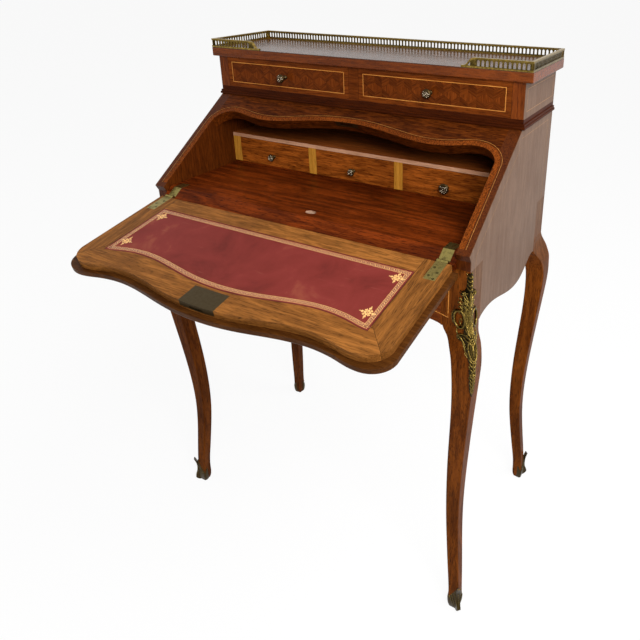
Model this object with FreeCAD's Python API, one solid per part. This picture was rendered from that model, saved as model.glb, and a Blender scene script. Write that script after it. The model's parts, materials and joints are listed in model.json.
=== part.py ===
import FreeCAD, Part
import math
import os

from FreeCAD import Vector, Matrix

# Slant-front lady's writing desk on four cabriole legs, in millimetres.
# X runs to the right, Y to the back, Z up. The fall is modelled open, as it stands in use.
# The working frame has Y = 0 at the tips of the slanted side edges; the finished pieces are
# moved along Y once, so that the origin lies under the middle of the desk's outer box.

# Overall sizes
case_width = 624.0
case_depth = 360.0
writing_height = 707.0
tip_rise = 3.0
slant_run = 195.0
slant_rise = 135.0
waist_thickness = 16.0
frieze_height = 57.5
top_thickness = 16.5
gallery_height = 16.0

# Clearances and small working values
running_gap = 0.3
slide_gap = 0.7
seat_gap = 0.4
pin_clearance = 0.05
overrun = 5.0

# Lower case
side_thickness = 22.0
front_setback = 6.0
tip_bevel_drop = 11.0
panel_thickness = 10.0
post_size = 45.0
post_top_drop = 23.0
post_tail = 5.0
rail_thickness = 20.0
apron_rail_height = 94.0
belly_drop = 28.0
side_apron_shares = (
    # along the side, drop below the arch
    (0.00, 0.14),
    (0.11, 0.00),
    (0.25, 0.18),
    (0.43, 0.66),
    (0.62, 1.00),
    (0.75, 0.89),
    (0.88, 0.34),
    (0.95, 0.10),
    (1.00, 0.14),
)
front_apron_shares = (
    # along the front, drop below the arch
    (0.00, 0.14),
    (0.04, 0.00),
    (0.16, 0.30),
    (0.30, 0.06),
    (0.40, 0.62),
    (0.50, 1.00),
    (0.60, 0.62),
    (0.70, 0.06),
    (0.84, 0.30),
    (0.96, 0.00),
    (1.00, 0.14),
)
well_bottom_rise = 7.0
well_bottom_thickness = 7.0

# Cabriole legs: outward swell of the arris, set against the corner of the case
leg_join_rise = 22.0
knee_swell = 17.5
leg_arris_radius = 2.6
leg_section_shares = (
    # height, arris swell, swell of the face's far edge, section size
    (1.000, -0.03, -0.04, 0.878),
    (0.980, 0.17, -0.03, 1.000),
    (0.961, 0.46, -0.03, 1.140),
    (0.948, 0.64, 0.06, 1.138),
    (0.935, 0.77, 0.23, 1.038),
    (0.915, 0.93, 0.63, 0.944),
    (0.890, 0.98, 0.89, 0.853),
    (0.863, 1.00, 1.00, 0.804),
    (0.833, 0.97, 0.97, 0.771),
    (0.768, 0.79, 0.79, 0.704),
    (0.675, 0.49, 0.49, 0.649),
    (0.557, 0.13, 0.13, 0.610),
    (0.438, -0.14, -0.14, 0.560),
    (0.327, -0.19, -0.19, 0.517),
    (0.229, 0.00, 0.00, 0.487),
    (0.131, 0.28, 0.28, 0.458),
    (0.049, 0.46, 0.46, 0.440),
    (0.015, 0.45, 0.45, 0.420),
    (0.000, 0.36, 0.36, 0.340),
)

# Bronze shoes and knee mounts
shoe_height = 68.0
shoe_skin = 1.5
shoe_leaf_width = 7.0
shoe_wrap_shares = (
    # half width of the wrap over the leg's faces, height
    (0.210, 0.015),
    (0.210, 0.30),
    (0.150, 0.46),
    (0.080, 0.60),
    (0.000, 0.80),
)
shoe_front_shares = (
    # outer line of toe and leaf: distance from the case corner along its diagonal, height
    (0.130, 0.015),
    (0.225, 0.060),
    (0.268, 0.130),
    (0.240, 0.215),
    (0.202, 0.310),
    (0.180, 0.450),
    (0.182, 0.620),
    (0.205, 0.740),
    (0.235, 0.830),
    (0.250, 0.872),
)
shoe_back_shares = (
    # inner line of the leaf, downwards
    (0.226, 0.885),
    (0.186, 0.800),
    (0.152, 0.690),
    (0.118, 0.588),
)
shoe_core_share = 0.03
mount_skin = 2.4
mount_top_drop = 2.0
mount_length = 196.0
mount_half_width = 10.0
mount_outline_shares = (
    # distance down the mount, half width
    (0.00, 0.25),
    (0.04, 0.38),
    (0.12, 0.40),
    (0.16, 0.72),
    (0.20, 0.80),
    (0.26, 0.70),
    (0.35, 0.64),
    (0.46, 0.68),
    (0.50, 0.80),
    (0.52, 1.50),
    (0.54, 1.58),
    (0.555, 0.95),
    (0.60, 0.86),
    (0.64, 0.68),
    (0.69, 0.56),
    (0.72, 0.32),
    (0.77, 0.50),
    (0.82, 0.36),
    (0.88, 0.42),
    (0.95, 0.28),
    (1.00, 0.06),
)
mount_loop_place = 11.8
mount_loop_half_width = 7.2
mount_loop_half_height = 14.5
mount_loop_thickness = 2.6
mount_loop_place_share = 0.39
mount_oval_half_width = 7.4
mount_oval_half_height = 17.0
mount_oval_place_share = 0.585
mount_bead_radius = 3.0
mount_beads = 4
mount_bead_pitch_share = 2.2
mount_flower_radius = 4.0
mount_flower_place = 7.6
mount_flower_place_share = 0.17
mount_relief_share = 1.6
mount_back_share = 1.2
oval_points = 10

# Serpentine edge shared by the opening, the fall and the leather
serpentine_depth = 20.0
serpentine_shares = (
    # distance from the centre, drop below the crest
    (0.00, 0.00),
    (0.22, 0.24),
    (0.42, 0.76),
    (0.62, 1.00),
    (0.75, 0.76),
    (0.865, 0.50),
)
corner_drop = 30.0
corner_lean = 1.8
round_share = 0.5523
opening_crest = 205.0
slant_rail_thickness = 20.0
ear_trim = 9.0

# Desk floor and well
bevel_gap = 0.5
ledge_nose = 3.0
ledge_drop = 23.0
ledge_nose_height = 7.0
floor_thickness = 7.7
lid_seat = 8.0
lid_lap = 32.0
strip_thickness = 6.0
lid_travel = 140.0
lid_tail = 5.0
notch_half_width = 10.0
notch_half_depth = 7.0
notch_sink = 2.6
notch_offset = 13.0
notch_setback = 20.0

# Nest of small drawers
nest_front = 190.0
nest_bottom_thickness = 4.0
nest_height = 62.0
nest_shelf_thickness = 7.0
nest_stile = 18.0
nest_divider = 17.0
small_front_thickness = 10.0
small_wall = 5.0
small_bottom = 3.0
small_drawer_back_gap = 10.0
small_travel = 100.0
small_knob_diameters = (14.0, 14.0, 19.0)
small_knob_length = 13.0
small_knob_rise_share = 0.4
small_bay_half = 85.0

# Frieze with two drawers
frieze_setback = 2.0
waist_lip = 3.5
waist_lip_height = 8.5
upper_side = 21.0
upper_divider = 20.0
upper_back = 8.0
drawer_front_thickness = 16.0
drawer_wall = 7.0
drawer_bottom = 4.0
drawer_back_gap = 9.0
drawer_side_drop = 5.0
drawer_travel = 110.0
drawer_knob_diameter = 16.0
drawer_knob_length = 18.0
knob_profile_shares = (
    # distance from the front, radius
    (0.00, 0.50),
    (0.10, 0.50),
    (0.18, 0.34),
    (0.48, 0.24),
    (0.62, 0.66),
    (0.80, 1.00),
    (0.93, 0.78),
    (1.00, 0.00),
)

# Top board and gallery
top_overhang_side = 11.5
top_overhang_front = 5.5
top_overhang_back = 2.0
top_edge_radius = 1.5
gallery_inset = 0.5
gallery_rail_width = 5.0
gallery_rail_height = 3.2
gallery_band = 1.6
gallery_pitch = 6.8
gallery_bar = 2.6
gallery_return = 118.0
gallery_scroll = 25.0

# Fall
fall_sag = 11.0
board_thickness = 12.0
lip_thickness = 10.0
lip_overlap = 9.0
lip_edge_radius = 3.5
board_clearance = 1.5
crest_clearance = 0.8
hinge_below_face = 1.7
hinge_setback = 11.0
hinge_margin = 4.6
leather_half_width = 247.0
leather_margin = 39.0
leather_back = 37.0
leather_thickness = 0.8

# Stop hinges and lock
hinge_length = 18.0
hinge_offset = 8.5
hinge_leaf_length = 46.0
hinge_leaf_thickness = 1.5
hinge_case_reach = 39.0
knuckle_radius = 3.2
knuckle_gap = 0.4
hinge_pin_radius = 1.2
lock_half_width = 32.5
lock_depth = 35.0
lock_height = 9.5
lock_plate = 1.6
bolt_half_width = 12.0
bolt_thickness = 3.6
bolt_drop = 4.2
bolt_length = 22.0
bolt_travel = 6.0
bolt_gap = 0.2
bolt_inset = 1.5
key_radius = 3.0
key_slot_width = 2.6
key_slot_length = 8.0
key_setback = 20.0
strike_half_width = 24.0
strike_thickness = 1.5
strike_width = 11.0
strike_pocket = 9.0

# Worked-out places
half_width = case_width / 2
tip_z = writing_height + tip_rise
slant_angle = math.degrees(math.atan2(slant_rise, slant_run))
slant_length = math.hypot(slant_run, slant_rise)
waist_z = tip_z + slant_rise
frieze_z = waist_z + waist_thickness
top_under_z = frieze_z + frieze_height
top_z = top_under_z + top_thickness
inner_half = half_width - side_thickness
back_inner = case_depth - panel_thickness
post_top_z = writing_height - post_top_drop
arch_height = post_top_z - apron_rail_height
well_bottom_height = arch_height + well_bottom_rise
leg_join_height = arch_height + leg_join_rise
frieze_y = slant_run + frieze_setback
drawer_depth = case_depth - upper_back - frieze_y - drawer_front_thickness - drawer_back_gap
small_drawer_depth = back_inner - nest_front - small_front_thickness - small_drawer_back_gap
board_underface = hinge_below_face - board_thickness
axis_depth = board_thickness - hinge_below_face - seat_gap
bevel_depth = board_thickness - seat_gap + bevel_gap
board_half = inner_half - board_clearance
lip_half = board_half + lip_overlap
crest_v = opening_crest + hinge_setback - crest_clearance
lip_crest_v = crest_v + lip_overlap
hinge_x = inner_half - hinge_offset - hinge_length

slant_cos = math.cos(math.radians(slant_angle))
slant_sin = math.sin(math.radians(slant_angle))


def slant_point(along, depth):
    """Point (y, z) along the slant from its tip, at a depth under its face."""
    return (along * slant_cos + depth * slant_sin, tip_z + along * slant_sin - depth * slant_cos)


hinge_y, hinge_z = slant_point(-hinge_setback, axis_depth)
bevel_z_at_zero = tip_z - bevel_depth / slant_cos
bevel_top_y = (writing_height - bevel_z_at_zero) * slant_run / slant_rise


def box(x0, x1, y0, y1, z0, z1):
    return Part.makeBox(x1 - x0, y1 - y0, z1 - z0, Vector(x0, y0, z0))


def cylinder_x(x0, x1, y, z, radius):
    return Part.makeCylinder(radius, x1 - x0, Vector(x0, y, z), Vector(1, 0, 0))


def cylinder_z(x, y, z0, z1, radius):
    return Part.makeCylinder(radius, z1 - z0, Vector(x, y, z0), Vector(0, 0, 1))


def mirror_x(shape):
    return shape.mirror(Vector(0, 0, 0), Vector(1, 0, 0))


def mirror_y(shape, y):
    return shape.mirror(Vector(0, y, 0), Vector(0, 1, 0))


def profile_x(points, x0, x1):
    """Prism along X of an outline given as (y, z) points."""
    corners = [Vector(x0, y, z) for y, z in points]
    face = Part.Face(Part.makePolygon(corners + corners[:1]))
    return face.extrude(Vector(x1 - x0, 0, 0))


def spline(points, start=None, end=None):
    curve = Part.BSplineCurve()
    if start is None:
        curve.interpolate(Points=points)
    else:
        curve.interpolate(Points=points, InitialTangent=start, FinalTangent=end)
    return curve.toShape()


def fused(shapes):
    whole = shapes[0].multiFuse(shapes[1:])
    return whole.removeSplitter()


def serpentine_edges(width_half, crest):
    """Serpentine line in the XY plane with rounded shoulders; returns its edges and end height."""
    wave = [Vector(width_half * x, crest - serpentine_depth * drop, 0) for x, drop in serpentine_shares]
    left = [Vector(-p.x, p.y, 0) for p in reversed(wave[1:])]
    shoulder = wave[-1]
    corner_y = shoulder.y - corner_drop
    corner_width = width_half - shoulder.x
    poles = [
        shoulder,
        Vector(shoulder.x + corner_width * round_share, shoulder.y, 0),
        Vector(width_half - corner_lean, corner_y + corner_drop * round_share, 0),
        Vector(width_half, corner_y, 0),
    ]
    right_corner = Part.BezierCurve()
    right_corner.setPoles(poles)
    left_corner = Part.BezierCurve()
    left_corner.setPoles([Vector(-p.x, p.y, 0) for p in poles])
    level = Vector(1, 0, 0)
    edges = [spline(left + wave, level, level), right_corner.toShape(), left_corner.toShape()]
    return edges, corner_y


def serpentine_face(width_half, crest, base):
    """Face in the XY plane between the serpentine line and a straight line at base."""
    edges, corner_y = serpentine_edges(width_half, crest)
    a = Vector(width_half, corner_y, 0)
    b = Vector(width_half, base, 0)
    c = Vector(-width_half, base, 0)
    d = Vector(-width_half, corner_y, 0)
    edges += [Part.makeLine(a, b), Part.makeLine(b, c), Part.makeLine(c, d)]
    return Part.Face(Part.Wire(Part.__sortEdges__(edges)))


def on_slant(shape):
    """Moves a shape from the flat frame (Y up the slope, Z outward) onto the slant."""
    placed = shape.copy()
    placed.rotate(Vector(0, 0, 0), Vector(1, 0, 0), slant_angle)
    placed.translate(Vector(0, 0, tip_z))
    return placed


def on_fall(shape):
    """Moves a shape from the fall's flat frame (front at -Y, face up) to the open fall."""
    placed = shape.copy()
    placed.rotate(Vector(0, 0, 0), Vector(1, 0, 0), fall_sag)
    placed.translate(Vector(0, hinge_y, hinge_z))
    return placed


def rounded_section(corners, radius, z):
    """Closed wire through four corners at one height, with rounded corners."""
    points = [Vector(x, y, z) for x, y in corners]
    count = len(points)
    starts = []
    ends = []
    middles = []
    for i in range(count):
        here = points[i]
        before = (points[i - 1] - here).normalize()
        after = (points[(i + 1) % count] - here).normalize()
        half = before.getAngle(after) / 2
        reach = radius / math.tan(half)
        starts.append(here + before * reach)
        ends.append(here + after * reach)
        inward = (before + after).normalize()
        middles.append(here + inward * (radius / math.sin(half) - radius))
    edges = []
    for i in range(count):
        edges.append(Part.Arc(starts[i], middles[i], ends[i]).toShape())
        edges.append(Part.makeLine(ends[i], starts[(i + 1) % count]))
    return Part.Wire(edges)


def leg_corners(swell, edge, size, skin):
    inner = swell - size
    return (
        (swell + skin, swell + skin),
        (inner - skin, edge + skin),
        (inner - skin, inner - skin),
        (edge + skin, inner - skin),
    )


def leg_stock(skin):
    """Cabriole leg at a corner with +X and +Y outward, grown by a skin."""
    wires = []
    for height, swell, edge, size in leg_section_shares:
        corners = leg_corners(knee_swell * swell, knee_swell * edge, post_size * size, skin)
        wires.append(rounded_section(corners, leg_arris_radius + skin, leg_join_height * height))
    curve = Part.makeLoft(wires, True, False)
    post = box(-post_size, skin, -post_size, skin, arch_height - post_tail, post_top_z)
    return curve.fuse(post).removeSplitter()


def at_front_right(shape):
    """Places a shape from the corner frame (+X, +Y outward) at the front right corner."""
    placed = mirror_y(shape, 0)
    placed.translate(Vector(half_width, front_setback, 0))
    return placed


def four_corners(shape):
    """Copies of a corner-frame shape for the four corners of the case."""
    front_right = at_front_right(shape)
    back_right = shape.copy()
    back_right.translate(Vector(half_width, case_depth, 0))
    return {
        "front_left": mirror_x(front_right),
        "front_right": front_right,
        "back_left": mirror_x(back_right),
        "back_right": back_right,
    }


def diagonal_prism(face_points, start, end):
    """Prism along the corner's diagonal between two distances; points are (across, height)."""
    across = Vector(1, -1, 0).normalize()
    outward = Vector(1, 1, 0).normalize()
    corners = [across * t + outward * start + Vector(0, 0, z) for t, z in face_points]
    face = Part.Face(Part.makePolygon(corners + corners[:1]))
    return face.extrude(outward * (end - start))


def diagonal_oval(place, z, half_across, half_height, start, end):
    """Oval prism along the corner's diagonal, centred at (place, z)."""
    across = Vector(1, -1, 0).normalize()
    outward = Vector(1, 1, 0).normalize()
    points = []
    for i in range(oval_points):
        turn = 2 * math.pi * i / oval_points
        step = across * (place + half_across * math.cos(turn)) + outward * start
        points.append(step + Vector(0, 0, z + half_height * math.sin(turn)))
    ring = Part.BSplineCurve()
    ring.interpolate(Points=points, PeriodicFlag=True)
    return Part.Face(Part.Wire([ring.toShape()])).extrude(outward * (end - start))


def diagonal_profile(edges, half_width):
    """Plate in the corner's diagonal plane, as thick as twice the half width."""
    across = Vector(1, -1, 0).normalize()
    face = Part.Face(Part.Wire(edges))
    face.translate(across * -half_width)
    return face.extrude(across * (half_width * 2))


def shoe(leg):
    """Bronze shoe: a skin over the outer faces, a toe and a leaf curling off the arris."""
    outward = Vector(1, 1, 0).normalize()
    place = lambda d, z: outward * (d * shoe_height) + Vector(0, 0, z * shoe_height)
    right = [(t * shoe_height, z * shoe_height) for t, z in shoe_wrap_shares]
    left = [(-t, z) for t, z in reversed(right[:-1])]
    wrap = leg_stock(shoe_skin).common(diagonal_prism(right + left, -right[0][0] * 0.6, post_size))
    front = [place(d, z) for d, z in shoe_front_shares]
    back = [place(d, z) for d, z in shoe_back_shares]
    core_top = place(shoe_core_share, shoe_back_shares[-1][1])
    core_low = place(shoe_core_share, shoe_front_shares[0][1])
    edges = [
        spline(front),
        Part.makeLine(front[-1], back[0]),
        spline(back),
        Part.makeLine(back[-1], core_top),
        Part.makeLine(core_top, core_low),
        Part.makeLine(core_low, front[0]),
    ]
    leaf = diagonal_profile(edges, shoe_leaf_width / 2)
    return wrap.fuse(leaf).cut(leg).removeSplitter()


def knee_mount(leg):
    """Gilt mount over the knee: beads, flowers, open side scrolls, oval cartouche, long tail."""
    top = post_top_z - mount_top_drop
    end = post_size
    right = [(mount_half_width * w, top - mount_length * d) for d, w in mount_outline_shares]
    left = [(-t, z) for t, z in reversed(right)]
    plate = diagonal_prism(right + left, -mount_half_width * mount_back_share, end)
    loop_z = top - mount_length * mount_loop_place_share
    width = mount_loop_half_width
    height = mount_loop_half_height
    back = -(mount_loop_place + width) * mount_back_share
    outward = Vector(1, 1, 0).normalize()
    across = Vector(1, -1, 0).normalize()
    plates = []
    bosses = []
    for side in (-1, 1):
        x = side * mount_loop_place
        outer = diagonal_oval(x, loop_z, width, height, back, end)
        inner = diagonal_oval(
            x, loop_z, width - mount_loop_thickness, height - mount_loop_thickness, back * 2, end
        )
        plates.append(outer.cut(inner))
        t = mount_flower_place
        z = top - mount_length * mount_flower_place_share
        centre = outward * (mount_skin - t) + across * (side * t) + Vector(0, 0, z)
        bosses.append(Part.makeSphere(mount_flower_radius, centre))
    for i in range(mount_beads):
        z = top - mount_bead_radius * (1 + mount_bead_pitch_share * i)
        bosses.append(Part.makeSphere(mount_bead_radius, outward * mount_skin + Vector(0, 0, z)))
    body = leg_stock(mount_skin).cut(leg).common(plate.fuse(plates).removeSplitter())
    oval_z = top - mount_length * mount_oval_place_share
    oval = diagonal_oval(0, oval_z, mount_oval_half_width, mount_oval_half_height, 0, end)
    raised = leg_stock(mount_skin * mount_relief_share).common(oval).cut(leg)
    return body.fuse([raised]).fuse([boss.cut(leg) for boss in bosses])


def apron_edge(shares, start, end, place):
    """Scalloped lower edge between two posts; place turns (along, height) into a point."""
    span = end - start
    return spline([place(start + span * s, arch_height - belly_drop * drop) for s, drop in shares])


def board_with_apron(shares, start, end, z_top, place, thickness):
    """Board whose lower edge is scalloped; thickness is a vector."""
    edge = apron_edge(shares, start, end, place)
    first = place(start, arch_height - belly_drop * shares[0][1])
    last = place(end, arch_height - belly_drop * shares[-1][1])
    lines = [
        Part.makeLine(last, place(end, z_top)),
        Part.makeLine(place(end, z_top), place(start, z_top)),
        Part.makeLine(place(start, z_top), first),
    ]
    return Part.Face(Part.Wire([edge] + lines)).extrude(thickness)


def side_panel():
    """Right side of the lower case: slanted front, notches for the posts, scalloped apron."""
    x0 = inner_half
    front = front_setback + post_size
    back = case_depth - post_size
    place = lambda y, z: Vector(x0, y, z)
    edge = apron_edge(side_apron_shares, front, back, place)
    first = place(front, arch_height - belly_drop * side_apron_shares[0][1])
    last = place(back, arch_height - belly_drop * side_apron_shares[-1][1])
    tip_y, tip_bevel_z = front_setback, tip_z - tip_bevel_drop
    outline = [
        last,
        place(back, post_top_z),
        place(case_depth, post_top_z),
        place(case_depth, waist_z),
        place(slant_run, waist_z),
        place(0, tip_z),
        place(tip_y, tip_bevel_z),
        place(tip_y, post_top_z),
        place(front, post_top_z),
        first,
    ]
    lines = [Part.makeLine(a, b) for a, b in zip(outline, outline[1:])]
    return Part.Face(Part.Wire([edge] + lines)).extrude(Vector(side_thickness, 0, 0))


def front_rail():
    inner = half_width - post_size
    place = lambda x, z: Vector(x, front_setback, z)
    return board_with_apron(
        front_apron_shares, -inner, inner, post_top_z, place, Vector(0, rail_thickness, 0)
    )


def back_panel():
    """Back of the lower case with its scalloped rail, fitted between the sides and the posts."""
    inner = half_width - post_size
    place = lambda x, z: Vector(x, back_inner, z)
    low = board_with_apron(
        front_apron_shares, -inner, inner, post_top_z, place, Vector(0, panel_thickness, 0)
    )
    high = box(-inner_half, inner_half, back_inner, case_depth, post_top_z, waist_z)
    return low.fuse(high).removeSplitter()


def well_bottom():
    rail_back = front_setback + rail_thickness
    z0 = well_bottom_height
    z1 = z0 + well_bottom_thickness
    board = box(-inner_half, inner_half, rail_back, back_inner, z0, z1)
    inner = half_width - post_size
    for side in (-1, 1):
        x0, x1 = sorted((side * inner, side * half_width))
        board = board.cut(box(x0, x1, 0, front_setback + post_size, z0, z1))
        board = board.cut(box(x0, x1, case_depth - post_size, case_depth, z0, z1))
    return board


def case_leaf_profile():
    """Bent hinge leaf in (y, z): up the bevel, then back along the floor."""
    deep = bevel_depth + hinge_leaf_thickness
    low_z = writing_height - hinge_leaf_thickness
    low_y = (low_z - (tip_z - deep / slant_cos)) * slant_run / slant_rise
    return [
        slant_point(-hinge_setback, bevel_depth),
        (bevel_top_y, writing_height),
        (hinge_case_reach, writing_height),
        (hinge_case_reach, low_z),
        (low_y, low_z),
        slant_point(-hinge_setback, deep),
    ]


def hinge_seats(shape):
    """Sinks the bent hinge leaves flush into a piece and clears the knuckles."""
    for side in (-1, 1):
        x0, x1 = sorted((side * hinge_x, side * (hinge_x + hinge_length)))
        shape = shape.cut(profile_x(case_leaf_profile(), x0, x1))
        clear = cylinder_x(x0 - knuckle_gap, x1 + knuckle_gap, hinge_y, hinge_z, knuckle_radius + knuckle_gap)
        shape = shape.cut(clear)
    return shape


def floor_ledge():
    """Front ledge of the floor, bevelled to the closed fall and rebated for the well lid."""
    back = front_setback + rail_thickness
    nose_z = bevel_z_at_zero - ledge_nose * slant_rise / slant_run
    low = post_top_z
    section = [
        (back, low),
        (back, writing_height),
        (bevel_top_y, writing_height),
        (-ledge_nose, nose_z),
        (-ledge_nose, nose_z - ledge_nose_height),
        (0, low),
    ]
    ledge = profile_x(section, -inner_half, inner_half)
    lid_half = inner_half - lid_lap
    rebate = box(-lid_half, lid_half, bevel_top_y, back, writing_height - lid_seat, writing_height)
    return hinge_seats(ledge.cut(rebate))


def floor_strip():
    """Right floor strip with the tongue that carries the edge of the well lid."""
    lid_half = inner_half - lid_lap
    seat_z = writing_height - lid_seat
    y0 = front_setback + rail_thickness
    strip = box(lid_half, inner_half, y0, back_inner, seat_z, writing_height)
    tongue = box(lid_half - lid_seat, inner_half, y0, back_inner, seat_z - strip_thickness, seat_z)
    return hinge_seats(strip.fuse(tongue).removeSplitter())


def oval_pocket(x, y, z, half_x, half_y, depth):
    points = []
    for i in range(oval_points):
        turn = 2 * math.pi * i / oval_points
        points.append(Vector(x + half_x * math.cos(turn), y + half_y * math.sin(turn), z - depth))
    ring = Part.BSplineCurve()
    ring.interpolate(Points=points, PeriodicFlag=True)
    return Part.Face(Part.Wire([ring.toShape()])).extrude(Vector(0, 0, depth))


def well_lid():
    """Sliding lid of the well, with a finger hollow near its front edge."""
    lid_half = inner_half - lid_lap - seat_gap
    z0 = writing_height - lid_seat + running_gap
    z1 = writing_height - running_gap
    lid = box(-lid_half, lid_half, bevel_top_y + running_gap, nest_front + lid_tail, z0, z1)
    y = bevel_top_y + notch_setback
    return lid.cut(oval_pocket(notch_offset, y, z1, notch_half_width, notch_half_depth, notch_sink))


def slant_rail():
    """Slanted rail over the opening; its lower edge is the serpentine line."""
    edges, corner_y = serpentine_edges(inner_half, opening_crest)
    top = slant_length + slant_rail_thickness
    a = Vector(inner_half, corner_y, 0)
    b = Vector(inner_half, top, 0)
    c = Vector(-inner_half, top, 0)
    d = Vector(-inner_half, corner_y, 0)
    edges += [Part.makeLine(a, b), Part.makeLine(b, c), Part.makeLine(c, d)]
    face = Part.Face(Part.Wire(Part.__sortEdges__(edges)))
    face.translate(Vector(0, 0, -slant_rail_thickness))
    rail = on_slant(face.extrude(Vector(0, 0, slant_rail_thickness)))
    above = box(-case_width, case_width, 0, case_depth, waist_z, top_z)
    rail = rail.cut(above)
    x = strike_half_width
    seat = box(-x, x, opening_crest - overrun, opening_crest + strike_thickness, *strike_depths())
    return rail.cut([on_slant(seat), on_slant(strike_slot(bolt_gap + seat_gap, strike_pocket))])


def bolt_depth():
    """Depth of the bolt's middle below the slanted face when the fall is shut."""
    return axis_depth + hinge_below_face - lock_plate - bolt_drop


def strike_depths():
    middle = -bolt_depth()
    return middle - strike_width / 2, middle + strike_width / 2


def strike_slot(gap, depth):
    middle = -bolt_depth()
    x = bolt_half_width + gap
    half = bolt_thickness / 2 + gap
    return box(-x, x, opening_crest - overrun, opening_crest + depth, middle - half, middle + half)


def lock_strike():
    """Brass strike let into the edge of the slanted rail, with a slot for the bolt."""
    x = strike_half_width
    plate = box(-x, x, opening_crest, opening_crest + strike_thickness, *strike_depths())
    return on_slant(plate.cut(strike_slot(bolt_gap + seat_gap, strike_pocket)))


def waist_board():
    """Bed of the frieze drawers, with a two-ridged moulding round front and sides."""
    bed = box(-half_width, half_width, frieze_y, case_depth, waist_z, frieze_z)
    ridges = []
    step = waist_lip_height * 0.55
    for lip, z0, z1 in (
        (waist_lip, waist_z, waist_z + step),
        (waist_lip * 0.6, waist_z + step, waist_z + waist_lip_height),
    ):
        slab = box(-half_width - lip, half_width + lip, frieze_y - lip, case_depth, z0, z1)
        round_edges = [
            e for e in slab.Edges if e.BoundBox.ZLength < seat_gap and e.BoundBox.YMin < back_inner
        ]
        ridges.append(slab.makeFillet(lip * 0.4, round_edges))
    return bed.fuse(ridges).removeSplitter()


def drawer_box(x0, x1, y0, y1, z0, z1, wall, bottom):
    tray = box(x0, x1, y0, y1, z0, z1)
    return tray.cut(box(x0 + wall, x1 - wall, y0 - wall, y1 - wall, z0 + bottom, z1 + bottom))


def knob(x, y, z, diameter, length):
    """Turned knob along -Y with its base at y."""
    points = [Vector(diameter / 2 * r, 0, length * d) for d, r in knob_profile_shares[2:]]
    base_r = diameter / 2 * knob_profile_shares[0][1]
    base_h = length * knob_profile_shares[1][0]
    first = Vector(0, 0, 0)
    foot = Vector(base_r, 0, 0)
    rise = Vector(base_r, 0, base_h)
    edges = [
        Part.makeLine(first, foot),
        Part.makeLine(foot, rise),
        Part.makeLine(rise, points[0]),
        spline(points[:-1]),
        Part.makeLine(points[-2], Vector(0, 0, points[-2].z)),
        Part.makeLine(Vector(0, 0, points[-2].z), first),
    ]
    turned = Part.Face(Part.Wire(edges)).revolve(Vector(0, 0, 0), Vector(0, 0, 1), 360)
    turned.rotate(Vector(0, 0, 0), Vector(1, 0, 0), 90)
    turned.translate(Vector(x, y, z))
    return turned


def frieze_drawer():
    """Right frieze drawer: front, box and knob."""
    x0 = upper_divider / 2 + slide_gap
    x1 = half_width - upper_side - slide_gap
    z0 = frieze_z + running_gap
    z1 = top_under_z - slide_gap
    y1 = frieze_y + drawer_front_thickness
    front = box(x0, x1, frieze_y, y1, z0, z1)
    side_gap = slide_gap
    tray = drawer_box(
        x0 + side_gap, x1 - side_gap, y1, y1 + drawer_depth, z0, z1 - drawer_side_drop, drawer_wall, drawer_bottom
    )
    handle = knob((x0 + x1) / 2, frieze_y, (z0 + z1) / 2 - slide_gap, drawer_knob_diameter, drawer_knob_length)
    return front, tray, handle


def small_drawer(x0, x1, knob_diameter):
    """Small drawer of the nest between two X places: front, box and knob."""
    z0 = writing_height + nest_bottom_thickness + running_gap
    z1 = writing_height + nest_height - nest_shelf_thickness - slide_gap
    x0 += slide_gap
    x1 -= slide_gap
    y1 = nest_front + small_front_thickness
    front = box(x0, x1, nest_front, y1, z0, z1)
    tray = drawer_box(
        x0 + slide_gap,
        x1 - slide_gap,
        y1,
        y1 + small_drawer_depth,
        z0,
        z1 - drawer_side_drop,
        small_wall,
        small_bottom,
    )
    z = z0 + (z1 - z0) * small_knob_rise_share
    handle = knob((x0 + x1) / 2, nest_front, z, knob_diameter, small_knob_length)
    return front, tray, handle


def nest_board(z0, thickness):
    return box(-inner_half, inner_half, nest_front, back_inner, z0, z0 + thickness)


def nest_upright(x0, x1):
    z0 = writing_height + nest_bottom_thickness
    z1 = writing_height + nest_height - nest_shelf_thickness
    return box(x0, x1, nest_front, back_inner, z0, z1)


def upper_side_board():
    return box(half_width - upper_side, half_width, frieze_y, case_depth, frieze_z, top_under_z)


def top_board():
    """Top board with an eased edge all round."""
    x = half_width + top_overhang_side
    y0 = slant_run - top_overhang_front + frieze_setback
    slab = box(-x, x, y0, case_depth + top_overhang_back, top_under_z, top_z)
    return slab.makeFillet(top_edge_radius, slab.Edges)


def band_windows(x0, x1, y, z0, z1):
    """Row of arched windows for the pierced band, cut along Y through a strip at y."""
    count = int((x1 - x0) / gallery_pitch)
    pitch = (x1 - x0) / count
    half = (pitch - gallery_bar) / 2
    windows = []
    for i in range(count):
        x = x0 + pitch * (i + 0.5)
        points = [
            Vector(x - half, y, z0),
            Vector(x + half, y, z0),
            Vector(x + half, y, z1 - half),
            Vector(x, y, z1),
            Vector(x - half, y, z1 - half),
        ]
        face = Part.Face(Part.makePolygon(points + points[:1]))
        windows.append(face.extrude(Vector(0, gallery_rail_width, 0)))
    return windows


def gallery_straight(length):
    """Straight run of gallery along +X from the origin, its outer face at Y = 0."""
    base = box(0, length, 0, gallery_rail_width, 0, gallery_rail_height)
    cap_z = gallery_height - gallery_rail_height
    cap = box(0, length, 0, gallery_rail_width, cap_z, gallery_height)
    y = (gallery_rail_width - gallery_band) / 2
    band = box(0, length, y, y + gallery_band, gallery_rail_height, cap_z)
    ends = gallery_rail_width
    band = band.cut(band_windows(ends, length - ends, 0, gallery_rail_height, cap_z))
    return base.fuse([band, cap]).removeSplitter()


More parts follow.
